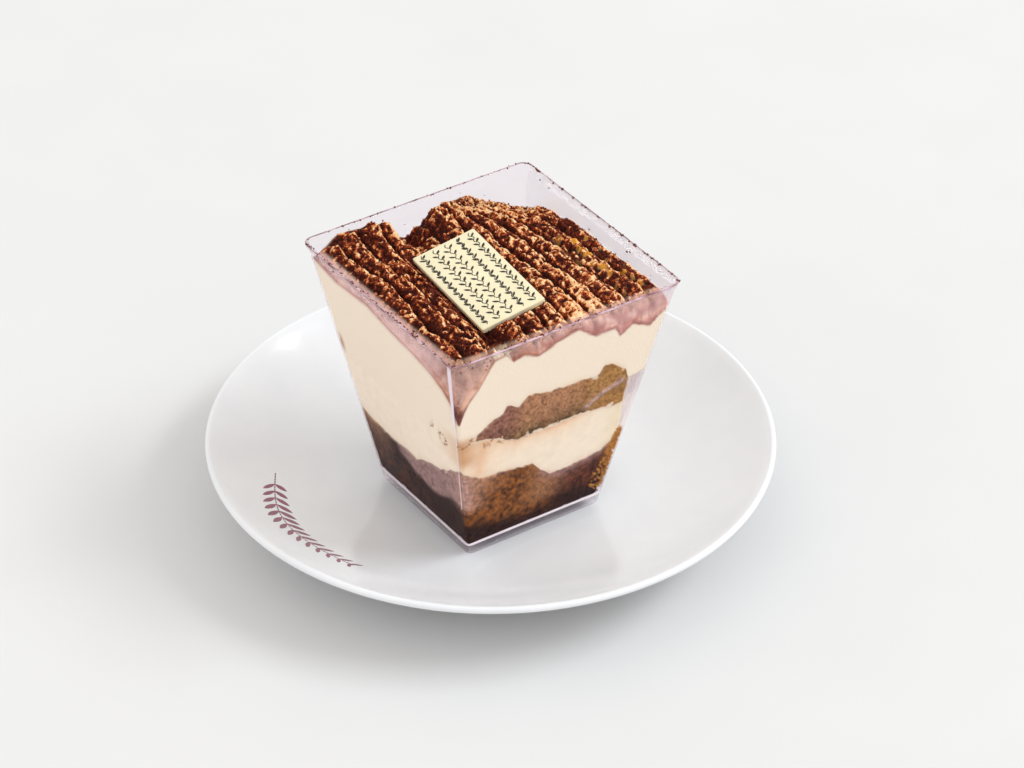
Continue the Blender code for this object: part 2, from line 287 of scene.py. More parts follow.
def piped_top(x, y):
    """The piped cream: round ropes with pleats across them, swirls where they start, and the walls' line."""
    number, across = rope_place(x, y)
    rope = np.sqrt(np.clip(1.0 - across**2 * 0.96, 0.0, 1.0))
    shift = scrambled(stack(number, number * 3), 3)
    along = y / PLEAT_PITCH + shift + 0.5 * across**2 + 0.35 * across + 0.55 * rough(stack(x, y), 7.0, 2, 47)
    pleat = np.abs(np.sin(np.pi * along)) ** 0.75
    fold = np.abs(np.sin(np.pi * (2.3 * along + 0.5 * across)))
    tuft = 0.5 - np.abs(rough(stack(x, y), 2.6, 3, 43)) * 2.0
    rope = rope * (1.0 + 0.28 * rough(stack(x, y), 7.0, 2, 49))
    jagged = blend(0.55, 1.0, ramp(-x, -8.0, 8.0)) + 0.35 * rough(stack(x, y), 9.0, 2, 53)
    z = PIPED_LEVEL - 1.7 + ROPE_DEPTH * rope + (2.1 * (pleat - 0.65) + 0.6 * (fold - 0.6)) * rope * jagged
    z = z + 0.26 * np.cos(across * 9.0 + 2.0 * rough(stack(x, y), 6.0, 1, 57)) + 1.3 * jagged * tuft
    z = z + 1.6 * hill(np.hypot((x - 13.0) / 1.3, y - 20.0), 9.0)
    z = z + swirl(x, y, (-15.0, 31.5), 4.4, 3.4, 11) + swirl(x, y, (4.5, 30.0), 6.0, 3.2, 13)
    z = z + swirl(x, y, (-25.5, 30.0), 5.0, 1.8, 10)
    z = z - 6.4 * hill(x + 7.0, 4.2) * ramp(y, 8.0, 28.0)
    z = z - 8.5 * hill(np.hypot(x - 35.0, y - 35.0), 14.0)
    z = z - 2.6 * hill(x + 16.8, 3.2) * (1.0 - ramp(y, 8.0, 22.0))
    z = z - 2.4 * hill(x + 17.8, 1.8) * ramp(-y, 17.0, 23.0)
    clumps = stack(x, y)
    z = z + 0.45 * rough(clumps, 2.4, 2, 41) + 0.22 * rough(clumps, 0.9, 2, 45)
    return under_the_tag(x, y, towards_contact(x, y, z))


def under_the_tag(x, y, z):
    """The cream pressed down by the chocolate tag: no higher than its underside, rising again beside it."""
    turn = math.radians(TAG_TURN[2])
    from_x, from_y = x - TAG_PLACE[0], y - TAG_PLACE[1]
    side = np.abs(from_x * math.cos(turn) + from_y * math.sin(turn)) - TAG_SIZE[0] / 2
    end = np.abs(from_y * math.cos(turn) - from_x * math.sin(turn)) - TAG_SIZE[1] / 2
    outside = np.hypot(np.maximum(side, 0.0), np.maximum(end, 0.0))
    facing = tag_matrix()[:, 2]
    under = TAG_PLACE[2] - (facing[0] * from_x + facing[1] * from_y) / facing[2] - TAG_SIZE[2] / 2 - 0.15
    return np.minimum(z, under + 1.1 * outside)


def towards_contact(x, y, z):
    """The piped cream's height, run down to the line where it meets the walls."""
    half = half_at(PIPED_LEVEL, WALL)
    from_wall = half - np.maximum(np.abs(x), np.abs(y))
    from_front = np.hypot(x + half, y + half)
    at_wall = line_height(place_round(x, y), CREAM_LINE) + 0.5 * rough(stack(x, y), 2.4, 3, 51)
    reach = 1.5 + 3.2 * hill(from_front, 9.0)
    near = fade(from_wall, reach)
    low_corner = 7.5 * hill(from_front, 8.0)
    return blend(z - low_corner, at_wall, near)


# Meshes


def place_mesh(name, points, faces, material, *, colours=None, levels=None, smooth=True):
    """An object from points in the cup's frame, in mm, and arrays of faces. Its place is in its mesh."""
    mesh = bpy.data.meshes.new(name)
    corners = np.concatenate([np.asarray(f).ravel() for f in faces]).astype(np.int32)
    sizes = np.concatenate([np.full(len(f), np.asarray(f).shape[1]) for f in faces])
    mesh.vertices.add(len(points))
    mesh.vertices.foreach_set("co", ((points + CUP_PLACE) * MM).astype(np.float32).ravel())
    mesh.loops.add(len(corners))
    mesh.loops.foreach_set("vertex_index", corners)
    mesh.polygons.add(len(sizes))
    mesh.polygons.foreach_set("loop_start", np.concatenate([[0], np.cumsum(sizes)[:-1]]).astype(np.int32))
    mesh.update(calc_edges=True)
    mesh.polygons.foreach_set("use_smooth", np.full(len(sizes), smooth))
    if colours is not None:
        tint = mesh.attributes.new("tint", "FLOAT_COLOR", "POINT")
        rgba = np.concatenate([colours, np.ones((len(points), 1))], axis=1)
        tint.data.foreach_set("color", rgba.astype(np.float32).ravel())
    for key, values in (levels or {}).items():
        mesh.attributes.new(key, "FLOAT", "POINT").data.foreach_set("value", values.astype(np.float32))
    mesh.materials.append(material)
    made = bpy.data.objects.new(name, mesh)
    bpy.context.scene.collection.objects.link(made)
    return made


def add_piece(piece, slot, *nodes):
    """The piece rides with the part and stands for the CAD nodes, which are hidden; its slot is not used."""
    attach(piece, "root")
    if nodes:
        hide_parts(*nodes)
    return piece


def strips(rings):
    """Faces that join rings of point numbers, each to the next. Rings run anticlockwise seen from above."""
    here, there = rings[:-1], rings[1:]
    quads = np.stack([here, there, np.roll(there, -1, 1), np.roll(here, -1, 1)], axis=-1)
    return quads.reshape(-1, 4)


def loft(rings):
    """Points and faces of a closed body through rings, from the middle of its first ring to that of its last."""
    count, across = rings.shape[:2]
    points = np.concatenate([rings.reshape(-1, 3), [rings[0].mean(0)], [rings[-1].mean(0)]])
    numbers = np.arange(count * across).reshape(count, across)
    first, last = numbers[0], numbers[-1]
    top = np.stack([np.full(across, len(points) - 2), first, np.roll(first, -1)], axis=-1)
    base = np.stack([last, np.full(across, len(points) - 1), np.roll(last, -1)], axis=-1)
    return points, [strips(numbers), top, base]


def layer_mesh(count, rows, top, base, reach_in, level, left=None, pores=None):
    """Points and faces of a layer of food: a grid over its top, columns of points down the walls and rings
    over its underside. left moves its side at -x inwards to that x; pores gives the depth of its pits."""
    line = np.linspace(-1.0, 1.0, count)
    v, u = (part.ravel() for part in np.meshgrid(line, line, indexing="ij"))
    index = np.arange(count * count).reshape(count, count)
    rim = np.concatenate([index[0, :-1], index[:-1, -1], index[-1, :0:-1], index[:0:-1, 0]])

    def at(u, v, z, deeper=0.0):
        half = half_at(z, WALL - reach_in) - deeper
        x, y = plan(u, v, half, CORNER - WALL)
        if left is not None:
            x = blend(left, x, (u + 1) / 2)
        cut = pocket_depth(x, y, z)
        return x - cut, y + cut

    z = np.full(len(u), level, float)
    for _ in range(3):
        x, y = at(u, v, z)
        z = top(x, y)
    grid = stack(*at(u, v, z), z)
    low = np.full(len(rim), level, float)
    for _ in range(3):
        low = base(*at(u[rim], v[rim], low))
    low = np.minimum(low, z[rim] - 0.05)
    share = np.append(np.arange(1, rows) / rows, [0.992, 1.0])[:, None]
    side_z = blend(z[rim], low, share)
    side_u, side_v = (np.broadcast_to(part[rim], side_z.shape) for part in (u, v))
    x, y = at(side_u, side_v, side_z)
    if pores is not None:
        x, y = at(side_u, side_v, side_z, pores(x, y, side_z))
    side = stack(x, y, side_z)
    under = []
    for shrink in (0.995, 0.93, 0.7, 0.4, 0.15):
        x, y = at(u[rim] * shrink, v[rim] * shrink, low)
        under.append(stack(x, y, np.minimum(base(x, y), low.max())))
    rings = np.concatenate([side, np.array(under)])
    points = np.concatenate([grid, rings.reshape(-1, 3), [under[-1].mean(0)]])
    numbers = len(grid) + np.arange(rings.shape[0] * len(rim)).reshape(rings.shape[0], len(rim))
    numbers = np.concatenate([rim[None], numbers])
    floor = np.stack(
        [numbers[-1], np.full(len(rim), len(points) - 1), np.roll(numbers[-1], -1)], axis=-1
    )
    cells = np.stack([index[:-1, :-1], index[:-1, 1:], index[1:, 1:], index[1:, :-1]], axis=-1)
    return points, [cells.reshape(-1, 4), strips(numbers), floor]


def pocket_depth(x, y, z):
    """How far the food stands back from the right corner, along each side: an air pocket under the upper
    cream that narrows downwards."""
    from_corner = np.hypot(half_at(z, WALL) - x, half_at(z, WALL) + y)
    size = blend(0.6, 2.8, ramp(z, 24.0, 45.0)) * (1.0 - ramp(z, 45.6, 46.4))
    return size * (1.0 - ramp(from_corner, 0.35 * size + 0.2, 1.5 * size + 0.8))


# Materials. Each is a Principled surface; the pattern sizes are in mm of the real thing.


def node(tree, kind, settings=None, **inputs):
    """Adds a node. settings are its properties, inputs its numbers or links, by name or by in and number."""
    made = tree.nodes.new(kind)
    for key, value in (settings or {}).items():
        setattr(made, key, value)
    for key, value in inputs.items():
        numbered = key[:2] == "in" and key[2:].isdigit()
        socket = made.inputs[int(key[2:]) if numbered else key.replace("_", " ")]
        if isinstance(value, bpy.types.NodeSocket):
            tree.links.new(value, socket)
        else:
            socket.default_value = value
    return made


def new_material(name):
    """An empty node material and its tree."""
    made = bpy.data.materials.new(name)
    made.use_nodes = True
    made.node_tree.nodes.clear()
    return made, made.node_tree


def finish_material(tree, surface):
    """Joins the surface to the material's output."""
    node(tree, "ShaderNodeOutputMaterial", Surface=surface)


def grain(tree, size, detail=2.0, roughness=0.6, kind="ShaderNodeTexNoise"):
    """Noise on Object coordinates with features of this size in mm."""
    place = node(tree, "ShaderNodeTexCoord").outputs["Object"]
    return node(
        tree, kind, Vector=place, Scale=1.0 / (size * MM), Detail=detail, Roughness=roughness
    ).outputs[0]


def ladder(tree, factor, steps):
    """A colour ramp: (place, hex colour) steps."""
    made = node(tree, "ShaderNodeValToRGB", Fac=factor)
    points = made.color_ramp.elements
    while len(points) < len(steps):
        points.new(0.5)
    for point, (place, colour) in zip(points, steps):
        point.position = place
        point.color = (*linear(colour), 1.0)
    return made.outputs["Color"]


def span(tree, value, low, high, to_low=0.0, to_high=1.0):
    """A value brought from one range to another, held at its ends."""
    made = node(tree, "ShaderNodeMapRange", in0=value, in1=low, in2=high, in3=to_low, in4=to_high)
    return made.outputs[0]


def bump(tree, height, depth):
    """A bump of this depth in mm."""
    return node(tree, "ShaderNodeBump", Height=height, Strength=1.0, Distance=depth * MM).outputs[0]


def mixed(tree, kind, a, b, factor):
    """Two colours mixed."""
    made = node(tree, "ShaderNodeMix", {"data_type": "RGBA", "blend_type": kind}, in0=factor, in6=a, in7=b)
    return made.outputs[2]


def attribute(tree, name, output="Color"):
    """The piece's own colours or numbers, point by point."""
    return node(tree, "ShaderNodeAttribute", {"attribute_name": name}).outputs[output]


def grey(value):
    """A grey as a colour for a socket."""
    return (value, value, value, 1.0)


def glazed_porcelain():
    """Glazed porcelain: white, with a smooth clear glaze that ripples a little, so highlights are soft-edged."""
    made, tree = new_material("glazed_porcelain")
    cloud = grain(tree, 14.0)
    colour = ladder(tree, cloud, ((0.3, "#E0E2E5"), (0.7, "#E4E6E8")))
    ripple = bump(tree, grain(tree, 5.0, 1.0), 0.012)
    surface = node(
        tree,
        "ShaderNodeBsdfPrincipled",
        Base_Color=colour,
        Roughness=span(tree, grain(tree, 9.0), 0.3, 0.7, 0.10, 0.17),
        IOR=1.5,
        Normal=ripple,
    )
    finish_material(tree, surface.outputs[0])
    return made


def clear_polystyrene():
    """Injection-moulded clear polystyrene: hard, glossy, faintly lilac. Light for the food goes straight
    through it, and so does most of what is seen through it, because its walls are thin and flat."""
    made, tree = new_material("clear_polystyrene")
    glass = node(
        tree,
        "ShaderNodeBsdfPrincipled",
        Base_Color=(*linear("#F9F4F8"), 1.0),
        Roughness=0.015,
        IOR=1.5,
        Transmission_Weight=1.0,
        Specular_Tint=(*linear("#A396A8"), 1.0),
    )
    clear = node(tree, "ShaderNodeBsdfTransparent", Color=(*linear("#FCF9FB"), 1.0))
    path = node(tree, "ShaderNodeLightPath")
    lamps = node(
        tree,
        "ShaderNodeMath",
        {"operation": "MAXIMUM"},
        in0=path.outputs["Is Shadow Ray"],
        in1=path.outputs["Is Diffuse Ray"],
    )
    lamps = node(tree, "ShaderNodeMath", {"operation": "MAXIMUM"}, in0=lamps.outputs[0], in1=0.76)
    both = node(tree, "ShaderNodeMixShader", in0=lamps.outputs[0], in1=glass.outputs[0], in2=clear.outputs[0])
    finish_material(tree, both.outputs[0])
    return made


def painted_light_edge(name, first, second):
    """Painted light on the plastic where it is seen along its thickness: a pale painted highlight for light gathered
    inside the walls, or a mauve-brown painted shade where light is bent away from the eye."""
    made, tree = new_material(name)
    cloud = grain(tree, 6.0)
    surface = node(
        tree,
        "ShaderNodeBsdfPrincipled",
        Base_Color=ladder(tree, cloud, ((0.36, first), (0.64, second))),
        Roughness=0.3,
        IOR=1.5,
    )
    finish_material(tree, surface.outputs[0])
    return made


def whipped_cream():
    """Whipped mascarpone cream: matt and soft, with a trace of fat that gives a broad sheen."""
    made, tree = new_material("whipped_cream")
    tint = attribute(tree, "tint")
    veins = span(tree, grain(tree, 3.0, 3.0), 0.3, 0.7, 0.94, 1.03)
    colour = mixed(tree, "MULTIPLY", tint, node(tree, "ShaderNodeCombineColor", in0=veins, in1=veins, in2=veins).outputs[0], 1.0)
    surface = node(
        tree,
        "ShaderNodeBsdfPrincipled",
        Base_Color=colour,
        Roughness=0.55,
        IOR=1.45,
        Specular_IOR_Level=0.2,
        Normal=bump(tree, grain(tree, 0.9, 3.0), 0.05),
    )
    finish_material(tree, surface.outputs[0])
    return made


def dusted_cream():
    """Piped mascarpone cream under cocoa: the powder is thin on crests, where the cream's fat turns it orange-tan,
    and thick and nearly black in the grooves. The cocoa level that picks the colour also carries painted light on
    crests and slopes facing the key lamp and painted shade in grooves and on slopes facing away, so the near-black
    end is partly painted shade."""
    made, tree = new_material("dusted_cream")
    cocoa = attribute(tree, "cocoa", "Fac")
    fine = span(tree, grain(tree, 0.95, 4.0, 0.75), 0.3, 0.7, -0.6, 0.6)
    coarse = span(tree, grain(tree, 3.0, 2.0), 0.3, 0.7, -0.3, 0.3)
    amount = node(tree, "ShaderNodeMath", {"operation": "ADD"}, in0=fine, in1=coarse).outputs[0]
    amount = node(tree, "ShaderNodeMath", {"operation": "ADD", "use_clamp": True}, in0=cocoa, in1=amount).outputs[0]
    powder = ladder(
        tree,
        amount,
        (
            (0.0, "#F8D2A0"),
            (0.2, "#EAA664"),
            (0.34, "#C8642A"),
            (0.47, "#92340D"),
            (0.62, "#5C1904"),
            (1.0, "#300A02"),
        ),
    )
    colour = mixed(tree, "MIX", attribute(tree, "tint"), powder, attribute(tree, "dusted", "Fac"))
    surface = node(
        tree,
        "ShaderNodeBsdfPrincipled",
        Base_Color=colour,
        Roughness=span(tree, amount, 0.2, 0.7, 0.5, 0.85),
        IOR=1.45,
        Specular_IOR_Level=0.25,
        Normal=bump(tree, grain(tree, 0.6, 3.0, 0.7), 0.25),
    )
    finish_material(tree, surface.outputs[0])
    return made


def sponge_crumb(name, pore, depth, wet):
    """Sponge biscuit pressed on clear plastic: open crumb with dark pores. It wets the plastic, so there is no
    air between them and it hardly shines of its own."""
    made, tree = new_material(name)
    tint = attribute(tree, "tint")
    holes = span(tree, grain(tree, pore, 3.0, 0.65), 0.32, 0.62, 0.5, 1.18)
    streaks = span(tree, grain(tree, pore * 0.35, 2.0), 0.3, 0.7, 0.82, 1.2)
    shade = node(tree, "ShaderNodeMath", {"operation": "MULTIPLY"}, in0=holes, in1=streaks).outputs[0]
    shade = node(tree, "ShaderNodeCombineColor", in0=shade, in1=shade, in2=shade).outputs[0]
    surface = node(
        tree,
        "ShaderNodeBsdfPrincipled",
        Base_Color=mixed(tree, "MULTIPLY", tint, shade, 1.0),
        Roughness=blend(0.85, 0.5, wet),
        IOR=1.4,
        Specular_IOR_Level=0.1,
        Normal=bump(tree, holes, depth),
    )
    finish_material(tree, surface.outputs[0])
    return made


def plain_food(name, steps, size, roughness, depth):
    """Crumbs, powder or chocolate: one family of colours that changes from spot to spot."""
    made, tree = new_material(name)
    spots = grain(tree, size, 2.0)
    surface = node(
        tree,
        "ShaderNodeBsdfPrincipled",
        Base_Color=ladder(tree, spots, steps),
        Roughness=roughness,
        IOR=1.45,
        Normal=bump(tree, spots, depth),
    )
    finish_material(tree, surface.outputs[0])
    return made


# Pieces


def circle_rings(profile, count):
    """Rings from a profile of (radius, height) turned about the plate's axis."""
    turn = np.linspace(0.0, 2.0 * np.pi, count, endpoint=False)
    r, z = (np.array(part)[:, None] for part in zip(*profile))
    return stack(r * np.cos(turn), r * np.sin(turn), z) - CUP_PLACE


def plate_side(r):
    """The height of the plate's upper side at a radius: level in the well, then a parabola to the rim."""
    rim_r = PLATE_RADIUS - RIM_ROUND + RIM_ROUND * math.cos(math.pi / 2 + RIM_SLOPE)
    rim_z = PLATE_HEIGHT - RIM_ROUND + RIM_ROUND * math.sin(math.pi / 2 + RIM_SLOPE)
    share = np.clip((r - WELL_RADIUS) / (rim_r - WELL_RADIUS), 0.0, 1.0)
    return WELL_TOP + (rim_z - WELL_TOP) * share**2


def plate_profile():
    """The plate's section, from the middle of its well over the rim to the middle of its underside."""
    middle = (PLATE_RADIUS - RIM_ROUND, PLATE_HEIGHT - RIM_ROUND)
    start = math.pi / 2 + RIM_SLOPE
    arc = start - np.linspace(0.0, math.pi, 13)
    rim = list(zip(middle[0] + RIM_ROUND * np.cos(arc), middle[1] + RIM_ROUND * np.sin(arc)))
    upper = [(r, float(plate_side(r))) for r in np.linspace(4.0, rim[0][0], 34)[:-1]]
    share = 1.0 - np.linspace(0.0, 1.0, 15)[1:]
    under_r = FOOT_RADIUS + (rim[-1][0] - FOOT_RADIUS) * share
    under_z = UNDERSIDE_START + (rim[-1][1] - UNDERSIDE_START) * share**1.7
    inner = FOOT_RADIUS - FOOT_WIDTH
    foot = [
        (FOOT_RADIUS - 0.1 * FOOT_EDGE, 1.8),
        (FOOT_RADIUS - 0.3 * FOOT_EDGE, FOOT_EDGE),
        (FOOT_RADIUS - 0.6 * FOOT_EDGE, 0.15),
        (FOOT_RADIUS - FOOT_EDGE, 0.0),
        (inner + FOOT_EDGE, 0.0),
        (inner, FOOT_EDGE),
        (inner - FOOT_EDGE, FOOT_RECESS - 0.3),
        (inner - 2.0, FOOT_RECESS),
        (20.0, FOOT_RECESS),
    ]
    return [*upper, *rim, *zip(under_r, under_z), *foot]


def make_plate(material):
    """The coupe plate: its profile turned about its axis."""
    points, faces = loft(circle_rings(plate_profile(), 192))
    return add_piece(place_mesh("plate_body", points, faces, material), "porcelain", "plate")


def square_ring(half, corner, z, steps=8):
    """One ring of a rounded square: straight sides, with a point close to each end that keeps them flat, and
    quarter circles."""
    straight = half - corner
    side = (np.array([0.0, 0.006, 0.25, 0.5, 0.75, 0.994]) * 2.0 - 1.0) * straight
    arc = np.linspace(0.0, math.pi / 2, steps + 1)[:-1]
    x = np.concatenate([side, straight + corner * np.sin(arc)])
    y = np.concatenate([np.full(len(side), -half), -straight - corner * np.cos(arc)])
    quarters = [(x, y), (-y, x), (-x, -y), (y, -x)]
    return stack(np.concatenate([q[0] for q in quarters]), np.concatenate([q[1] for q in quarters]), z)


def cup_profile():
    """The cup's section as (half width, corner radius, height): over the floor, up the inner wall, over the
    lip, down the outer wall and up into the recess under the floor."""
    inner, outer = CORNER - WALL, CORNER
    arc = np.linspace(0.0, math.pi / 2, 5)
    floor_half = half_at(FLOOR_TOP, WALL)
    fillet = 0.7
    section = [(floor_half * share, inner * share, FLOOR_TOP) for share in (0.2, 0.6, 0.9)]
    for a in arc:
        z = FLOOR_TOP + fillet * (1.0 - math.cos(a))
        section.append((half_at(z, WALL) - fillet * (1.0 - math.sin(a)), inner, z))
    section += [(half_at(z, WALL), inner, z) for z in (6.0, 20.0, 40.0, 60.0)]
    lip_in = LIP_HALF - WALL
    flare_z = np.linspace(FLARE_START, CUP_HEIGHT - LIP_ROUND - 0.2, 9)
    flare = ramp(flare_z, flare_z[0], flare_z[-1])
    section += [
        (half_at(z, WALL) + (lip_in - half_at(flare_z[-1], WALL)) * f, inner + LIP_CORNER * f, z)
        for z, f in zip(flare_z, flare)
    ]
    rounder = inner + LIP_CORNER
    for a in arc:
        section.append((lip_in + LIP_ROUND * (1 - math.cos(a)), rounder, CUP_HEIGHT - LIP_ROUND * (1 - math.sin(a))))
    for a in arc:
        section.append((LIP_HALF - LIP_ROUND * (1 - math.sin(a)), rounder + WALL, CUP_HEIGHT - LIP_ROUND * (1 - math.cos(a))))
    lift = LIP_HALF - half_at(flare_z[-1])
    section += [(half_at(z) + lift * f, outer + LIP_CORNER * f, z) for z, f in zip(flare_z[::-1], flare[::-1])]
    section += [(half_at(z), outer, z) for z in (60.0, 40.0, 20.0, 4.0, 0.4)]
    section += [(half_at(0.0) - 0.08, outer, 0.1), (half_at(0.0) - 0.3, outer, 0.0)]
    section += [(half_at(0.0, WALL) + 0.1, inner, 0.0), (half_at(0.2, WALL), inner, 0.2)]
    recess = FLOOR_TOP - FLOOR
    section += [(half_at(recess, WALL), inner, recess - 0.4), (half_at(recess, WALL) - 0.4, inner, recess)]
    section += [(floor_half * share, inner * share, recess) for share in (0.9, 0.6, 0.2)]
    return section


def make_cup(material):
    """The clear cup: its section carried round a rounded square."""
    rings = np.array([square_ring(*part) for part in cup_profile()])
    points, faces = loft(rings)
    return add_piece(place_mesh("clear_cup", points, faces, material), "clear_plastic", "cup")


def near_wall(x, y, z, wall):
    """1 on a wall, fading inwards: wall 0 is at -y, 3 at -x."""
    half = half_at(z, WALL)
    gap = {0: half + y, 1: half - x, 2: half - y, 3: half + x}[wall]
    return fade(np.abs(gap) - 0.5, 0.8)


def tinted(base, *layers):
    """Colours from a base hex colour with others laid over it, each (colour or hex colour, share)."""
    shares = [np.clip(np.asarray(share), 0.0, 1.0)[..., None] for _, share in layers]
    colours = np.ones(np.broadcast_shapes(*[share.shape for share in shares])) * linear(base)
    for (colour, _), share in zip(layers, shares):
        colours = blend(colours, linear(colour) if isinstance(colour, str) else colour, share)
    return colours


def soaked_colours(points):
    """The soaked sponge: nearly black, amber and mottled by the front corner, mauve where cream smears it,
    golden where it stays dry at the right."""
    x, y, z = points.T
    right, left = near_wall(x, y, z, 0), near_wall(x, y, z, 3)
    spots, fine = rough(points, 3.2, 3, 61), rough(points, 1.1, 2, 65)
    below_top = line_height(place_round(x, y), SOAKED_LINE) - z
    amber = right * ramp(-x + 5.0 * spots, -9.0, 4.0) * ramp(z + 0.25 * x + 2.0 * spots, 4.5, 9.5) * ramp(fine, -0.8, 0.35)
    pale = right * ramp(-x, 9.0, 17.0) * fade(below_top, 3.4) * ramp(spots, -0.8, 0.3)
    mauve = right * ramp(x, -3.0, 1.0) * fade(below_top - 0.8, 1.2) * (0.8 + 0.5 * spots)
    red = right * ramp(x + 3.0 * spots, -6.0, 8.0) * ramp(z + 2.0 * spots, 7.0, 14.0) * ramp(fine, -0.7, 0.6)
    gold = (right + near_wall(x, y, z, 1) * ramp(-y, 8.0, 20.0)) * ramp(x + spots, 19.5, 23.5) * ramp(z, 12.5, 16.0) * ramp(fine, -0.9, 0.1)
    smear_low = 14.2 + 4.0 * hill(y - 7.0, 7.0) + 4.0 * ramp(-y, 8.0, 20.0)
    smear = left * ramp(-y, -9.0, -5.0) * ramp(z + 0.8 * spots, smear_low - 0.8, smear_low + 1.2)
    corner = hill(np.hypot(x + half_at(z, WALL), y + half_at(z, WALL)), 4.5) * ramp(z, 15.0, 19.0)
    left_end = left * ramp(y, 9.0, 20.0) * fade(below_top, 5.0)
    left_red = left * ramp(y, -16.0, 12.0) * ramp(fine + spots, -0.1, 0.8)
    return tinted(
        "#2C1208",
        ("#5C3322", 0.8 * left_red),
        ("#7A4028", 0.8 * red),
        ("#965A24", amber),
        ("#C09068", 0.4 * right * hill(x - 1.0, 6.0) * ramp(z, 8.0, 13.0)),
        ("#C39A7C", 0.85 * pale),
        ("#A47E76", mauve),
        ("#BE8236", gold),
        ("#AA8A84", 0.85 * smear),
        ("#C9A08C", 0.6 * corner),
        ("#A67C60", 0.95 * left_end),
    )


def filling_colours(points):
    """The lower cream: ivory, stained orange under the sponge and by the front corner, with painted shade just under
    the upper sponge.
    """
    x, y, z = points.T
    right = near_wall(x, y, z, 0)
    spots = rough(points, 4.0, 3, 71)
    below_top = line_height(place_round(x, y), FILLING_LINE) - z
    glow = right * fade(below_top, 3.0) * ramp(x, -27.0, -18.0) * ramp(-x, -20.0, -4.0)
    trickle = right * hill(x + 22.0 + 0.9 * spots, 2.0) * ramp(z, 27.0, 33.0) * 0.4
    front = ramp(-x, 10.0, 22.0) * right * 0.35
    end = right * ramp(x, 16.0, 25.0)
    low_stain = fade(z - line_height(place_round(x, y), SOAKED_LINE), 0.9) * (0.5 + 0.5 * spots)
    return tinted(
        CREAM_COLOUR,
        ("#F0B97C", 0.8 * glow),
        ("#F3CFA2", front),
        ("#E3A066", trickle),
        ("#F0E2BC", 0.7 * end),
        ("#C79B74", 0.7 * low_stain),
        ("#D3A070", 0.75 * corner_stain(x, y, z)),
        # Painted shade cast by the upper sponge on the lower cream just under it, on the right front wall.
        ("#A9805E", 0.7 * right * fade(below_top, 0.6) * ramp(x, -18.0, -8.0) * ramp(-x, -16.0, -8.0)),
    )


def sponge_colours(points):
    """The upper sponge: taupe, more purple at its left end and olive at its right, with painted shade along its
    underside.
    """
    x, y, z = points.T
    spots, fine = rough(points, 2.6, 3, 81), rough(points, 0.8, 2, 85)
    above_base = z - line_height(place_round(x, y), FILLING_LINE)
    smear_z = np.interp(x, *zip(*CREAM_SMEAR)) + 0.5 * spots
    smear = hill(z - smear_z, 0.8) * ramp(x, CREAM_SMEAR[0][0] - 1.0, CREAM_SMEAR[0][0] + 0.6)
    smear = smear * ramp(-x, -CREAM_SMEAR[-1][0] - 0.6, -CREAM_SMEAR[-1][0] + 0.6)
    return tinted(
        "#B98862",
        ("#B2854C", ramp(x, 2.0, 18.0)),
        ("#9B6B5B", ramp(-x, 8.0, 16.0)),
        # Painted shade along the sponge's underside, fading upwards over about 3 mm, weaker at its two ends.
        ("#4C3E26", 0.95 * fade(above_base - 0.6, 3.2) * ramp(-x, -16.0, -8.0) * blend(0.25, 1.0, ramp(x, -20.0, -10.0))),
        ("#7A4A2A", 0.5 * ramp(spots, 0.0, 0.8)),
        ("#D3A36E", 0.45 * ramp(-spots, 0.1, 0.8)),
        ("#5A3520", 0.7 * ramp(fine, 0.2, 0.65)),
        ("#CBB0AA", 0.9 * near_wall(x, y, z, 0) * smear),
    )


def corner_stain(x, y, z):
    """1 where coffee stains the creams by the front corner, at the height of the upper sponge's foot."""
    half = half_at(z, WALL)
    right = near_wall(x, y, z, 0) * hill(x + half - 1.5, 3.6)
    left = near_wall(x, y, z, 3) * hill(y + half - 3.0, 5.0)
    return (right + 0.5 * left) * ramp(z, 33.0, 38.0) * ramp(-z, -48.0, -44.5)


def near_front(x, y, z, reach):
    """1 on the two front walls, fading inwards over a reach, and 0 from where it is seen over their edges."""
    half = half_at(z, WALL)
    share = 0.0
    for gap, drop in ((np.abs(half + y), SIGHT_DROP[0]), (np.abs(half + x), SIGHT_DROP[1])):
        over = (CUP_HEIGHT - z) / drop
        share = np.maximum(share, fade(gap - 0.4, reach) * (1.0 - ramp(gap, over - 1.0, over + 0.6)))
    return share


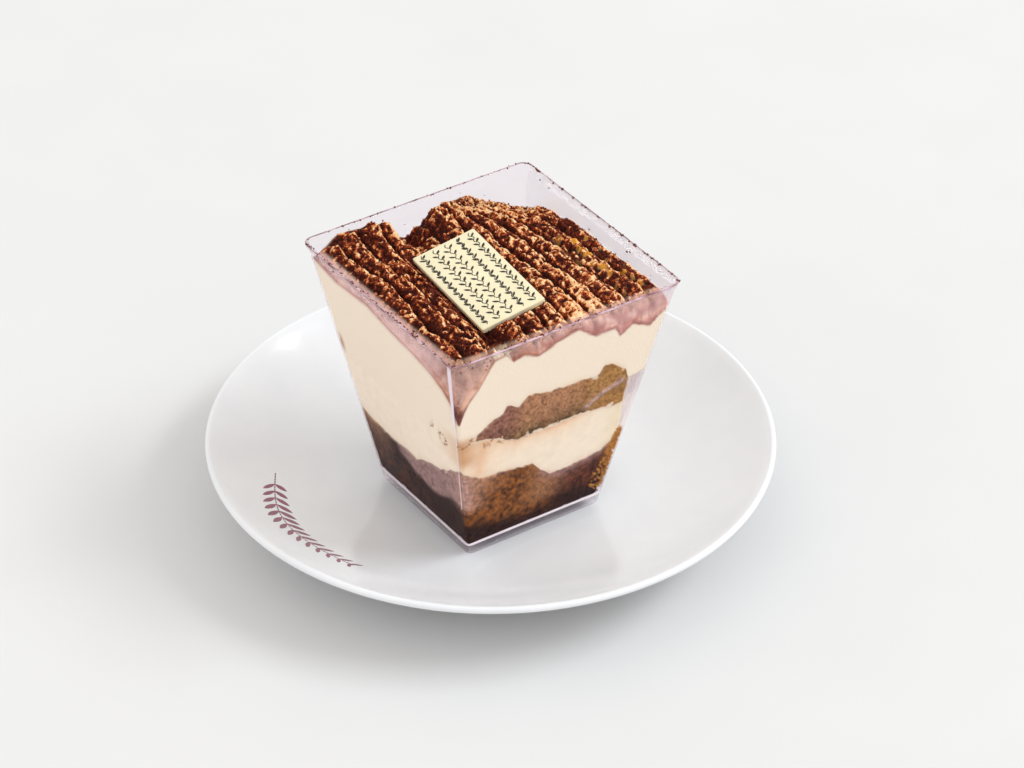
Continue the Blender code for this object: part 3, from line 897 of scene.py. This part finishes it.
def cream_colours(points):
    """The upper cream: ivory, with a coffee stain at the left corner, and pink-brown where thin cocoa clings between
    it and the front walls, paler on the left wall's side, partly with a painted veil of light reflected by that
    wall."""
    x, y, z = points.T
    left = near_wall(x, y, z, 3)
    stain = left * ramp(y, 26.5, 29.0) * hill(z - 44.6 - 0.9 * rough(points, 2.0, 2, 83), 2.4)
    low = fade(z - line_height(place_round(x, y), SPONGE_TOP_LINE), 0.8) * ramp(x, -25.0, -21.0)
    spots = rough(points, 2.1, 3, 87)
    above_line = z - line_height(place_round(x, y), CREAM_LINE)
    cling = near_front(x, y, z, 16.0) * ramp(above_line, -0.6, -0.1)
    from_corner = np.hypot(x + half_at(z, WALL), y + half_at(z, WALL))
    dark_tip = cling * hill(from_corner, 7.5) * ramp(-z + 0.8 * spots, -59.5, -56.0)
    open_v = cling * ramp(-y, 26.0, 30.0) * ramp(-x, 18.0, 24.0)
    return tinted(
        CREAM_COLOUR,
        ("#A9703C", stain),
        ("#D9B489", 0.35 * low),
        ("#D3A070", 0.75 * corner_stain(x, y, z)),
        (blend_hex("#CB9086", "#BC7E5C", -x), cling),
        # Paler pink on the left front wall's side: partly cream smear, partly a painted veil of light reflected by
        # the wall.
        ("#EFC8BF", cling * ramp(y - x, 0.0, 3.0) * blend(0.05, 1.0, ramp(from_corner, 5.0, 14.0))),
        ("#905444", blend(0.65, 0.3, ramp(y - x, 4.0, 14.0)) * cling * ramp(spots, 0.0, 0.5)),
        ("#F6D6BE", 0.75 * cling * ramp(-spots, 0.05, 0.55)),
        ("#F3C8AC", 0.85 * open_v * ramp(x - y, -2.0, 2.0) * ramp(-spots, -0.6, 0.1)),
        ("#5E2616", 0.95 * dark_tip),
        ("#F0A93C", ramp(golden_patch(x, y), 0.0, 0.3) * ramp(z, 66.0, 68.0)),
        ("#8E5247", 0.75 * near_front(x, y, z, 1.5) * hill(above_line - 0.15, 0.4)),
    )


def cocoa_and_shade_amount(x, y, z):
    """How thick the cocoa lies, with painted light and shade mixed in: thick in grooves, in folds, in hollows and on
    slopes to the left, away from the key lamp, which paints their shade, and thin on crests and on slopes facing the
    lamp, which paints their light.
    """
    number, across = rope_place(x, y)
    patches = rough(stack(x, y), 5.0, 2, 91)
    bare_end = hill(np.hypot((x - 9.0) / 1.5, y + 29.0), 5.5) + 0.7 * hill(np.hypot((x - 16.0) / 1.2, y + 20.0), 4.0)
    step = 0.45
    slope = (piped_top(x + step, y) - piped_top(x - step, y)) / (2 * step)
    around = [piped_top(x + dx, y + dy) for dx, dy in ((1.1, 0), (-1.1, 0), (0, 1.1), (0, -1.1))]
    hollow = np.mean(around, axis=0) - piped_top(x, y)
    # Painted light and shade: the slope term darkens slopes facing away from the key lamp and lightens those facing
    # it, the hollow term darkens hollows, and the last term darkens the valley left of the tag, where its shadow
    # falls.
    amount = 0.58 + 0.22 * np.clip(slope, -1.2, 1.2) + 0.7 * np.clip(hollow, -0.7, 0.6) + 0.14 * patches
    amount = amount + 0.16 * ramp(-x, -6.0, 12.0) + 0.12 * ramp(np.abs(across), 0.5, 1.0)
    amount = amount - 0.55 * bare_end + 0.2 * ramp(x, 20.0, 30.0) - 0.04 * ramp(-x, 4.0, 14.0) + 0.2 * hill(x + 16.8, 3.6) * ramp(-y, -14.0, 0.0)
    return np.clip(amount, 0.08, 0.95)


def golden_patch(x, y):
    """1 in the flecks of a golden patch on the outer rope at the right, where syrup has run into the cream."""
    along = ramp(y, -32.0, -26.0) * ramp(-y, -6.0, 0.0)
    return hill(x - 27.5, 4.5) * along * ramp(rough(stack(x, y), 1.7, 2, 93), 0.16, 0.36)


def dusted_share(x, y, z):
    """How far the cocoa hides the cream: all over the top but for a golden patch at the right, little against
    the front walls, none on the sides."""
    half = half_at(z, WALL)
    from_wall = half - np.maximum(np.abs(x), np.abs(y))
    from_front = np.hypot(x + half, y + half)
    tip = hill(from_front, 6.0) * ramp(-z, -58.0, -53.5)
    thin = np.clip(0.94 * near_front(x, y, z, 16.0) - tip, 0.0, 1.0)
    return (1.0 - thin) * (1.0 - 0.75 * golden_patch(x, y)) * ramp(from_wall, -0.25, 0.1)


def pits(size, deep, seed):
    """Depths of pores: where noise is high, up to this deep."""

    def depth(x, y, z):
        return deep * ramp(rough(stack(x, y, z), size, 2, seed), 0.3, 0.75)

    return depth


def behind_sponge(x, y, z):
    """How far the upper cream stands back behind the upper sponge."""
    place = place_round(x, y)
    above = ramp(z - line_height(place, FILLING_LINE), 0.9, 1.8)
    below = ramp(line_height(place, SPONGE_TOP_LINE) - z, 0.9, 1.8)
    return 2.0 * above * below * ramp(x, SPONGE_EDGE + 1.0, SPONGE_EDGE + 3.0)


def make_soaked_sponge():
    """The soaked sponge on the cup's floor."""
    points, faces = layer_mesh(
        130,
        56,
        soaked_top,
        lambda x, y: np.full(np.shape(x), FLOOR_TOP - 0.15),
        SPONGE_IN_WALL,
        22.0,
        pores=pits(2.0, 0.3, 101),
    )
    material = sponge_crumb("soaked_sponge", 1.5, 0.3, 0.8)
    piece = place_mesh("soaked_sponge_base", points, faces, material, colours=soaked_colours(points))
    add_piece(piece, "soaked_sponge", "sponge_lower")


def make_filling(material):
    """The lower cream."""
    points, faces = layer_mesh(
        130, 44, filling_top, lambda x, y: soaked_top(x, y) - 1.0, FILLING_IN_WALL, 38.0
    )
    piece = place_mesh("cream_filling", points, faces, material, colours=filling_colours(points))
    add_piece(piece, "cream", "cream_lower")


def make_coffee_sponge():
    """The upper sponge, which stops short of the left wall."""
    points, faces = layer_mesh(
        150,
        40,
        sponge_top,
        lambda x, y: filling_top(x, y) - 0.1,
        SPONGE_IN_WALL,
        50.0,
        left=SPONGE_EDGE,
        pores=pits(1.5, 0.3, 105),
    )
    material = sponge_crumb("coffee_sponge", 1.2, 0.25, 0.2)
    piece = place_mesh("coffee_sponge_layer", points, faces, material, colours=sponge_colours(points))
    add_piece(piece, "coffee_sponge", "sponge_upper")


def make_piped_cream():
    """The upper cream with its piped and dusted top."""
    count = PIPED_GRID
    points, faces = layer_mesh(
        count,
        44,
        piped_top,
        lambda x, y: filling_top(x, y) - 0.8,
        CREAM_IN_WALL,
        70.0,
        pores=behind_sponge,
    )
    x, y, z = points.T
    top = np.arange(len(points)) < count * count
    levels = {
        # The cocoa level also carries painted light on crests and painted shade in grooves.
        "cocoa": np.where(top, cocoa_and_shade_amount(x, y, z), 0.0),
        "dusted": np.where(top, dusted_share(x, y, z), 0.0),
    }
    piece = place_mesh(
        "piped_cream", points, faces, dusted_cream(), colours=cream_colours(points), levels=levels
    )
    add_piece(piece, "cream", "cream_upper")


# Small things, each kind one mesh of many closed bits


def bit_shape(kind):
    """Corners and faces of a small solid: 4, 8 or 20 faces."""
    if kind == "chip":
        corners = np.array([(1, 1, 1), (1, -1, -1), (-1, 1, -1), (-1, -1, 1)], float)
        faces = [(0, 1, 2), (0, 3, 1), (0, 2, 3), (1, 3, 2)]
    elif kind == "grain":
        corners = np.array([(1, 0, 0), (0, 1, 0), (-1, 0, 0), (0, -1, 0), (0, 0, 1), (0, 0, -1)], float)
        faces = [(0, 1, 4), (1, 2, 4), (2, 3, 4), (3, 0, 4), (1, 0, 5), (2, 1, 5), (3, 2, 5), (0, 3, 5)]
    else:
        g = (1 + 5**0.5) / 2
        corners = np.array(
            [(-1, g, 0), (1, g, 0), (-1, -g, 0), (1, -g, 0), (0, -1, g), (0, 1, g)]
            + [(0, -1, -g), (0, 1, -g), (g, 0, -1), (g, 0, 1), (-g, 0, -1), (-g, 0, 1)]
        )
        faces = [(0, 11, 5), (0, 5, 1), (0, 1, 7), (0, 7, 10), (0, 10, 11), (1, 5, 9), (5, 11, 4)]
        faces += [(11, 10, 2), (10, 7, 6), (7, 1, 8), (3, 9, 4), (3, 4, 2), (3, 2, 6), (3, 6, 8)]
        faces += [(3, 8, 9), (4, 9, 5), (2, 4, 11), (6, 2, 10), (8, 6, 7), (9, 8, 1)]
    return corners / np.linalg.norm(corners[0]), np.array(faces)


def bits(name, kind, centres, sizes, chance, material, slot):
    """Many small solids as one mesh: each is turned at random, its corners moved in and out a little."""
    corners, faces = bit_shape(kind)
    count = len(centres)
    spin = chance.normal(size=(count, 4))
    w, a, b, c = (spin / np.linalg.norm(spin, axis=1)[:, None]).T
    turn = np.array(
        [
            [1 - 2 * (b * b + c * c), 2 * (a * b - c * w), 2 * (a * c + b * w)],
            [2 * (a * b + c * w), 1 - 2 * (a * a + c * c), 2 * (b * c - a * w)],
            [2 * (a * c - b * w), 2 * (b * c + a * w), 1 - 2 * (a * a + b * b)],
        ]
    ).transpose(2, 0, 1)
    uneven = 1.0 + 0.5 * (chance.random((count, len(corners), 1)) - 0.5)
    stretch = 1.0 + 0.5 * (chance.random((count, 1, 3)) - 0.5)
    shape = corners[None] * uneven * stretch * (sizes / 2)[:, None, None]
    points = centres[:, None] + np.einsum("nij,nkj->nki", turn, shape)
    numbers = faces[None] + len(corners) * np.arange(count)[:, None, None]
    made = place_mesh(name, points.reshape(-1, 3), [numbers.reshape(-1, 3)], material, smooth=False)
    return add_piece(made, slot)


def under_tag(x, y):
    """True for points of the plan that the chocolate tag covers."""
    turn = math.radians(TAG_TURN[2])
    x, y = x - TAG_PLACE[0], y - TAG_PLACE[1]
    along, across = x * math.cos(turn) + y * math.sin(turn), y * math.cos(turn) - x * math.sin(turn)
    return (np.abs(along) < TAG_SIZE[0] / 2 - 0.3) & (np.abs(across) < TAG_SIZE[1] / 2 - 0.3)


def make_cocoa(powder):
    """Cocoa on the piped top: fine grains and clumps, more of them where the powder lies thick."""
    for name, kind, tries, low, high, seed in (
        ("cocoa_grains", "chip", 64000, 0.22, 0.48, 7),
        ("cocoa_clumps", "grain", 15000, 0.45, 0.95, 8),
    ):
        chance = np.random.default_rng(seed)
        spots = (chance.random((tries, 2)) * 2 - 1) * (half_at(PIPED_LEVEL, WALL) - 0.4)
        x, y = spots.T
        z = piped_top(x, y)
        inside = half_at(z, WALL) - 0.3 - np.maximum(np.abs(x), np.abs(y)) > 0
        amount = cocoa_and_shade_amount(x, y, z)
        clump = 0.5 + 0.9 * rough(stack(x, y), 1.6, 2, 95)
        chances = amount**1.3 * clump * dusted_share(x, y, z - 0.5)
        keep = inside & (chance.random(tries) < chances) & ~under_tag(x, y)
        sizes = blend(low, high, chance.random(tries) ** 2)
        centres = stack(x, y, z + 0.12 * sizes)[keep]
        bits(name, kind, centres, sizes[keep], chance, powder, "cream")


def make_specks(powder):
    """Cocoa on the cup's lip and on the bare inner walls."""
    chance = np.random.default_rng(17)
    found = []
    for wall, count in ((0, 90), (1, 230), (2, 60), (3, 170)):
        along = (chance.random(count) * 2 - 1) * (LIP_HALF - 0.8)
        along = along + 1.2 * np.sin(along * 1.1 + wall)
        out = LIP_HALF - WALL + 0.1 + 0.7 * chance.random(count)
        z = np.full(count, CUP_HEIGHT + 0.02)
        x, y, z = on_side(wall, along, out, z).T
        found.append(stack(*plan(x / out, y / out, out, CORNER + LIP_CORNER - LIP_HALF + out), z))
    for wall, count in ((1, 26), (2, 12)):
        along = (chance.random(count) * 2 - 1) * 32.0
        drop = chance.random(count) ** 2
        z = blend(line_height(wall + (along / 34.0 + 1) / 2, CREAM_LINE) + 0.4, CUP_HEIGHT - 0.5, drop)
        found.append(on_side(wall, along, half_at(z, WALL) - 0.05, z))
    centres = np.concatenate(found)
    sizes = 0.24 + 0.5 * chance.random(len(centres)) ** 2
    bits("cocoa_specks", "grain", centres, sizes, chance, powder, "cream")


def on_side(wall, along, out, z):
    """Points at a distance out from the axis on one side of the cup, along from its middle."""
    x, y = ((along, -out), (out, along), (-along, out), (-out, -along))[wall]
    return stack(x, y, z)


def make_crumbs():
    """Sponge crumbs on the walls: brown ones round the bubbles between the creams, golden ones at the right."""
    chance = np.random.default_rng(27)
    brown = plain_food("coffee_crumbs", ((0.3, "#B88A5C"), (0.7, "#8A5F3A")), 0.6, 0.6, 0.05)
    gold = plain_food("dry_sponge_crumbs", ((0.3, "#CB8D38"), (0.7, "#966022")), 0.6, 0.7, 0.05)
    found = []
    for wall, along, z, radius, start, end, count in BUBBLES:
        turn = blend(start, end, chance.random(count))
        ring_radius = radius + 0.3 * chance.normal(size=count)
        place, height = along + ring_radius * np.cos(turn), z + ring_radius * np.sin(turn)
        found.append(on_side(wall, place, half_at(height, WALL) + SPONGE_IN_WALL, height))
    count = 70
    along = blend(-22.0, -6.0, chance.random(count))
    height = 41.2 - 0.14 * (along + 22.0) + 0.5 * chance.normal(size=count)
    found.append(on_side(0, along, half_at(height, WALL) + SPONGE_IN_WALL, height))
    centres = np.concatenate(found)
    sizes = 0.18 + 0.25 * chance.random(len(centres))
    bits("coffee_crumbs", "grain", centres, sizes, chance, brown, "coffee_sponge")
    count = 300
    z = blend(6.0, 27.0, chance.random(count))
    along = half_at(z, WALL) - 0.4 - blend(5.0, 2.0, ramp(z, 10.0, 26.0)) * chance.random(count) ** 2
    centres = on_side(0, along, half_at(z, WALL) + 0.2, z)
    bits("golden_crumbs", "crumb", centres, 0.4 + 0.6 * chance.random(count), chance, gold, "coffee_sponge")


def make_painted_plastic_light():
    """Painted light on the plastic: pale strips that paint the bright lines at its front corner and at the rim of
    its floor, and a mauve-brown ring that paints shade round its lip.
    """
    pale = painted_light_edge("painted_highlight_edge", "#F1E6EC", "#FAF3F6")
    dark = painted_light_edge("shaded_plastic_edge", "#7E535A", "#D6B6C2")
    # A pale strip just inside the front corner: a painted highlight.
    z = np.linspace(18.0, CUP_HEIGHT - LIP_DEPTH - 0.6, 40)[:, None]
    near, width = 1.7, blend(0.3, blend(1.2, 1.7, ramp(z, 50.0, 75.0)), ramp(z, 49.5, 54.0))
    y = -half_at(z) + near + width * np.array([[0.0, 0.3, 0.7, 1.0, 1.0, 0.7, 0.3, 0.0]])
    x = -half_at(z) + np.array([[0.2, 0.16, 0.16, 0.2, 0.24, 0.3, 0.3, 0.24]])
    strip = stack(x, y, z)
    points, faces = loft(strip[::-1, ::-1])
    add_piece(place_mesh("front_corner_highlight", points, faces, pale), "clear_plastic")
    # A pale ring at the rim of the floor: a painted highlight.
    rings = [
        square_ring(half_at(height, inset), CORNER - inset, height)
        for height, inset in ((3.9, 0.75), (3.8, 0.3), (3.3, 0.2), (3.1, 0.3), (3.1, 0.75))
    ]
    numbers = np.arange(len(rings) * len(rings[0])).reshape(len(rings), -1)
    points = np.concatenate(rings)
    faces = [strips(np.concatenate([numbers, numbers[:1]]))]
    add_piece(place_mesh("floor_rim_highlight", points, faces, pale), "clear_plastic")
    # A mauve-brown ring round the top of the lip: painted shade.
    rings = [
        square_ring(LIP_HALF - inset, CORNER + LIP_CORNER - inset, CUP_HEIGHT + height)
        for height, inset in ((0.06, 0.36), (0.06, 0.12), (-0.1, 0.0), (-0.3, 0.0), (-0.3, 0.14), (-0.1, 0.3))
    ]
    points = np.concatenate(rings)
    numbers = np.arange(len(points)).reshape(len(rings), -1)
    faces = [strips(np.concatenate([numbers, numbers[:1]])[::-1])]
    add_piece(place_mesh("lip_shade_line", points, faces, dark), "clear_plastic")


# The chocolate tag and its ornament


def tag_matrix():
    """The tag's turn, as a matrix: about x, then y, then z."""
    turns = [Matrix.Rotation(math.radians(angle), 3, axis) for angle, axis in zip(TAG_TURN, "XYZ")]
    return np.array(turns[2] @ turns[1] @ turns[0])


def on_tag(points):
    """Points given from the tag's middle, along its own sides, put in the cup's frame."""
    return points @ tag_matrix().T + np.array(TAG_PLACE)


def make_tag():
    """The white chocolate tag: a flat plate whose edges are rounded like a poured and cut sheet."""
    ivory = plain_food("white_chocolate", ((0.3, "#E1D8B2"), (0.7, "#E6DEBC")), 6.0, 0.38, 0.04)
    half = np.array(TAG_SIZE) / 2
    arc = np.linspace(0.0, math.pi / 2, 4)
    section = [(0.5, half[2]), (0.85, half[2])]
    rings = [plate_ring(half[0] * s, half[1] * s, 0.4 * s, z) for s, z in section]
    for a in arc:
        inset = TAG_ROUND * (1 - math.sin(a))
        rings.append(plate_ring(half[0] - inset, half[1] - inset, 0.5, half[2] - TAG_ROUND * (1 - math.cos(a))))
    for a in arc:
        inset = TAG_ROUND * (1 - math.cos(a))
        rings.append(plate_ring(half[0] - inset, half[1] - inset, 0.5, -half[2] + TAG_ROUND * (1 - math.sin(a))))
    rings += [plate_ring(half[0] * s, half[1] * s, 0.4 * s, -half[2]) for s in (0.85, 0.5)]
    points, faces = loft(on_tag(np.array(rings)))
    add_piece(place_mesh("white_chocolate_tag", points, faces, ivory), "white_chocolate", "chocolate_tag")


def plate_ring(half_x, half_y, corner, z, steps=4):
    """One ring of a rounded rectangle."""
    arc = np.linspace(0.0, math.pi / 2, steps + 1)
    signs = ((1, -1, -math.pi / 2), (1, 1, 0.0), (-1, 1, math.pi / 2), (-1, -1, math.pi))
    x = np.concatenate([sx * (half_x - corner) + corner * np.cos(arc + start) for sx, _, start in signs])
    y = np.concatenate([sy * (half_y - corner) + corner * np.sin(arc + start) for _, sy, start in signs])
    return stack(x, y, z)


def leaf_points(places, turns, lengths, widths, lift, points_across=6):
    """Outlines of pointed leaves on a flat sheet: half the width times the sine of the share along it."""
    share = np.linspace(0.0, 1.0, points_across)
    edge = np.sin(np.pi * share) ** 0.8
    along = np.concatenate([share, share[-2:0:-1]])
    across = np.concatenate([-edge, edge[-2:0:-1]]) / 2
    x, y = lengths[:, None] * along, widths[:, None] * across
    cos, sin = np.cos(turns)[:, None], np.sin(turns)[:, None]
    flat = stack(places[:, :1] + x * cos - y * sin, places[:, 1:] + x * sin + y * cos)
    return np.concatenate([flat, np.full(flat.shape[:2] + (1,), lift)], axis=-1)


def leaf_mesh(outlines, thickness, put):
    """Thin closed bodies from outlines, each with a top, a base and a side, put in place by a function."""
    count, size = outlines.shape[:2]
    sunk = outlines - np.array([0.0, 0.0, thickness])
    points = put(np.concatenate([outlines, sunk], axis=1).reshape(-1, 3))
    first = 2 * size * np.arange(count)[:, None]
    ring = np.arange(size)[None]
    top = first + ring
    base = first + size + ring[:, ::-1]
    near, far = first + ring, first + (ring + 1) % size
    side = np.stack([near, near + size, far + size, far], axis=-1).reshape(-1, 4)
    return points, [top, base, side]


def vines(rows, row_pitch, length, leaf_pitch, seed):
    """Leaves and stems of wavy vines in rows along y: two pointed leaves to each wave, one on each side."""
    chance = np.random.default_rng(seed)
    places, turns, lengths, widths = [], [], [], []
    for row in range(rows):
        across = (row - (rows - 1) / 2) * row_pitch
        start = chance.random() * leaf_pitch
        y = np.arange(-length / 2 + start, length / 2 - 1.2, leaf_pitch)
        side = np.where(np.arange(len(y)) % 2 == 0, 1.0, -1.0)
        wave = across + 0.35 * np.sin(y * np.pi / leaf_pitch)
        places.append(stack(wave, y))
        turns.append(np.pi / 2 + side * (0.75 + 0.25 * (chance.random(len(y)) - 0.5)))
        lengths.append(1.75 + 0.5 * chance.random(len(y)))
        widths.append(0.62 + 0.16 * chance.random(len(y)))
        stem_y = np.arange(-length / 2 + 0.4, length / 2 - 0.4, 0.5)
        stem_x = across + 0.35 * np.sin(stem_y * np.pi / leaf_pitch)
        slope = np.gradient(stem_x, stem_y)
        places.append(stack(stem_x, stem_y))
        turns.append(np.pi / 2 - np.arctan(slope))
        lengths.append(np.full(len(stem_y), 0.72))
        widths.append(np.full(len(stem_y), 0.26))
    return np.concatenate(places), np.concatenate(turns), np.concatenate(lengths), np.concatenate(widths)


def make_tag_ornament():
    """Rows of leafy vines printed on the tag in dark chocolate."""
    dark = plain_food("dark_chocolate_print", ((0.3, "#2A1A10"), (0.7, "#1A100B")), 1.0, 0.4, 0.01)
    outlines = leaf_points(*vines(5, 3.7, TAG_SIZE[1] - 1.6, 1.5, 37), TAG_SIZE[2] / 2 + 0.05)
    points, faces = leaf_mesh(outlines, 0.12, on_tag)
    add_piece(place_mesh("tag_vines", points, faces, dark, smooth=False), "white_chocolate")


def make_plate_ornament():
    """A sprig of leaves fired on the plate's side in burgundy: a curved stem with leaves in pairs."""
    enamel = plain_food("burgundy_enamel", ((0.3, "#7E4050"), (0.7, "#8B4A5A")), 2.0, 0.2, 0.01)
    middle = math.radians(PLATE_SPRIG[0])
    radius = PLATE_SPRIG[1]
    span_mm = PLATE_SPRIG[2]
    along = np.linspace(-span_mm / 2, span_mm / 2, 15)
    bow = radius + 1.8 * np.cos(along / span_mm * np.pi * 1.6)
    slope = np.gradient(bow, along)
    places, turns, lengths, widths = [], [], [], []
    for side in (1.0, -1.0):
        places.append(stack(along[1:], bow[1:]))
        turns.append(np.arctan(slope[1:]) + side * 0.85)
        taper = 1.0 - 0.45 * np.abs(np.linspace(-0.4, 1.0, 14))
        lengths.append(5.6 * taper)
        widths.append(1.7 * taper)
    stem = np.linspace(-span_mm / 2 - 2.0, span_mm / 2, 40)
    stem_bow = radius + 1.8 * np.cos(stem / span_mm * np.pi * 1.6)
    places.append(stack(stem, stem_bow))
    turns.append(np.arctan(np.gradient(stem_bow, stem)))
    lengths.append(np.full(40, 1.3))
    widths.append(np.full(40, 0.4))

    def on_plate(points):
        turn = middle + points[:, 0] / points[:, 1]
        r = points[:, 1]
        z = plate_side(r) + points[:, 2]
        return stack(r * np.cos(turn), r * np.sin(turn), z) - CUP_PLACE

    outlines = leaf_points(np.concatenate(places), np.concatenate(turns), np.concatenate(lengths), np.concatenate(widths), 0.07)
    points, faces = leaf_mesh(outlines, 0.16, on_plate)
    add_piece(place_mesh("plate_sprig", points, faces, enamel, smooth=False), "porcelain")


# The sprig's middle as degrees round the plate from +x, its radius and its length in mm
PLATE_SPRIG = (175.0, 62.0, 46.0)

# Rings of crumbs round bubbles at the walls: (wall, along it, height, radius, first and last angle, crumbs)
BUBBLES = (
    (3, 20.4, 41.4, 1.8, 0.0, 6.28, 44),
    (3, 15.4, 44.0, 1.2, -2.6, 0.9, 14),
    (0, -28.6, 45.6, 2.1, -2.9, 0.2, 42),
    (0, -24.4, 46.2, 1.7, -3.0, 0.0, 34),
    (0, -20.6, 42.6, 1.4, -2.8, 0.4, 26),
)

# The view: where the camera looks, from where, and through which lens
LOOK_AT = Vector((0.69, -9.17, 42.98)) * MM
LOOK_TURN, LOOK_DOWN, LOOK_ROLL = math.radians(34.6), math.radians(35.09), math.radians(0.425)
LOOK_FROM = 1050.8 * MM
LENS, SENSOR = 134.8, 36.0


def look_axes():
    """The camera's right, up and back directions."""
    ahead = Vector((math.sin(LOOK_TURN), math.cos(LOOK_TURN), 0.0))
    back = -ahead * math.cos(LOOK_DOWN) + Vector((0.0, 0.0, math.sin(LOOK_DOWN)))
    side = Vector((math.cos(LOOK_TURN), -math.sin(LOOK_TURN), 0.0))
    up = back.cross(side)
    right = side * math.cos(LOOK_ROLL) + up * math.sin(LOOK_ROLL)
    return right, back.cross(right), back


def make_camera():
    """A long lens that looks down on the cup's front corner."""
    right, up, back = look_axes()
    data = bpy.data.cameras.new("camera")
    data.lens, data.sensor_width = LENS, SENSOR
    data.clip_start, data.clip_end = 0.05, 50.0
    camera = bpy.data.objects.new("camera", data)
    turn = Matrix((right, up, back)).transposed().to_4x4()
    camera.matrix_world = Matrix.Translation(LOOK_AT + back * LOOK_FROM) @ turn
    bpy.context.scene.collection.objects.link(camera)
    bpy.context.scene.camera = camera


def add_softbox(name, direction, distance, size, power, colour):
    """A rectangular lamp that faces the object from a direction (turn from the camera's right, height)."""
    right, _, _ = look_axes()
    ahead = Vector((math.sin(LOOK_TURN), math.cos(LOOK_TURN), 0.0))
    turn, height = (math.radians(angle) for angle in direction)
    flat = Vector((right.x, right.y, 0.0)).normalized() * math.cos(turn) + ahead * math.sin(turn)
    towards = flat * math.cos(height) + Vector((0.0, 0.0, math.sin(height)))
    data = bpy.data.lights.new(name, "AREA")
    data.shape, data.size, data.size_y = "RECTANGLE", *size
    data.energy = power
    data.color = linear(colour)
    lamp = bpy.data.objects.new(name, data)
    lamp.location = towards * distance
    lamp.rotation_euler = towards.to_track_quat("Z", "Y").to_euler()
    bpy.context.scene.collection.objects.link(lamp)


def make_stage():
    """A plain pale floor, a soft key lamp from the right and an even pale surround."""
    made, tree = new_material("pale_floor")
    colour = ladder(tree, grain(tree, 60.0), ((0.3, "#D6D6D6"), (0.7, "#D8D8D8")))
    surface = node(tree, "ShaderNodeBsdfPrincipled", Base_Color=colour, Roughness=0.9, Specular_IOR_Level=0.0)
    finish_material(tree, surface.outputs[0])
    mesh = bpy.data.meshes.new("floor")
    size = 12.0
    mesh.from_pydata([(-size, -size, 0), (size, -size, 0), (size, size, 0), (-size, size, 0)], [], [(0, 1, 2, 3)])
    mesh.materials.append(made)
    floor = bpy.data.objects.new("floor", mesh)
    bpy.context.scene.collection.objects.link(floor)
    add_softbox("key_lamp", (3.5, 43.5), 6.0, (3.4, 1.4), 178.0, "#F2FAFF")
    add_softbox("fill_lamp", (-145.0, 15.0), 6.0, (3.0, 2.0), 26.0, "#FFFFFF")
    world = bpy.data.worlds.new("surround")
    world.use_nodes = True
    world.node_tree.nodes["Background"].inputs[0].default_value = (*linear("#FFFCFA"), 1.0)
    world.node_tree.nodes["Background"].inputs[1].default_value = 1.03
    bpy.context.scene.world = world
    bpy.context.scene.view_settings.view_transform = "Standard"


def main():
    make_camera()
    make_stage()
    make_plate(glazed_porcelain())
    make_cup(clear_polystyrene())
    make_soaked_sponge()
    make_filling(whipped_cream())
    make_coffee_sponge()
    make_piped_cream()
    powder = plain_food("cocoa_powder", ((0.3, "#4A1707"), (0.7, "#782C0C")), 0.8, 0.9, 0.05)
    make_cocoa(powder)
    make_specks(powder)
    make_crumbs()
    make_painted_plastic_light()
    make_tag()
    make_tag_ornament()
    make_plate_ornament()


main()
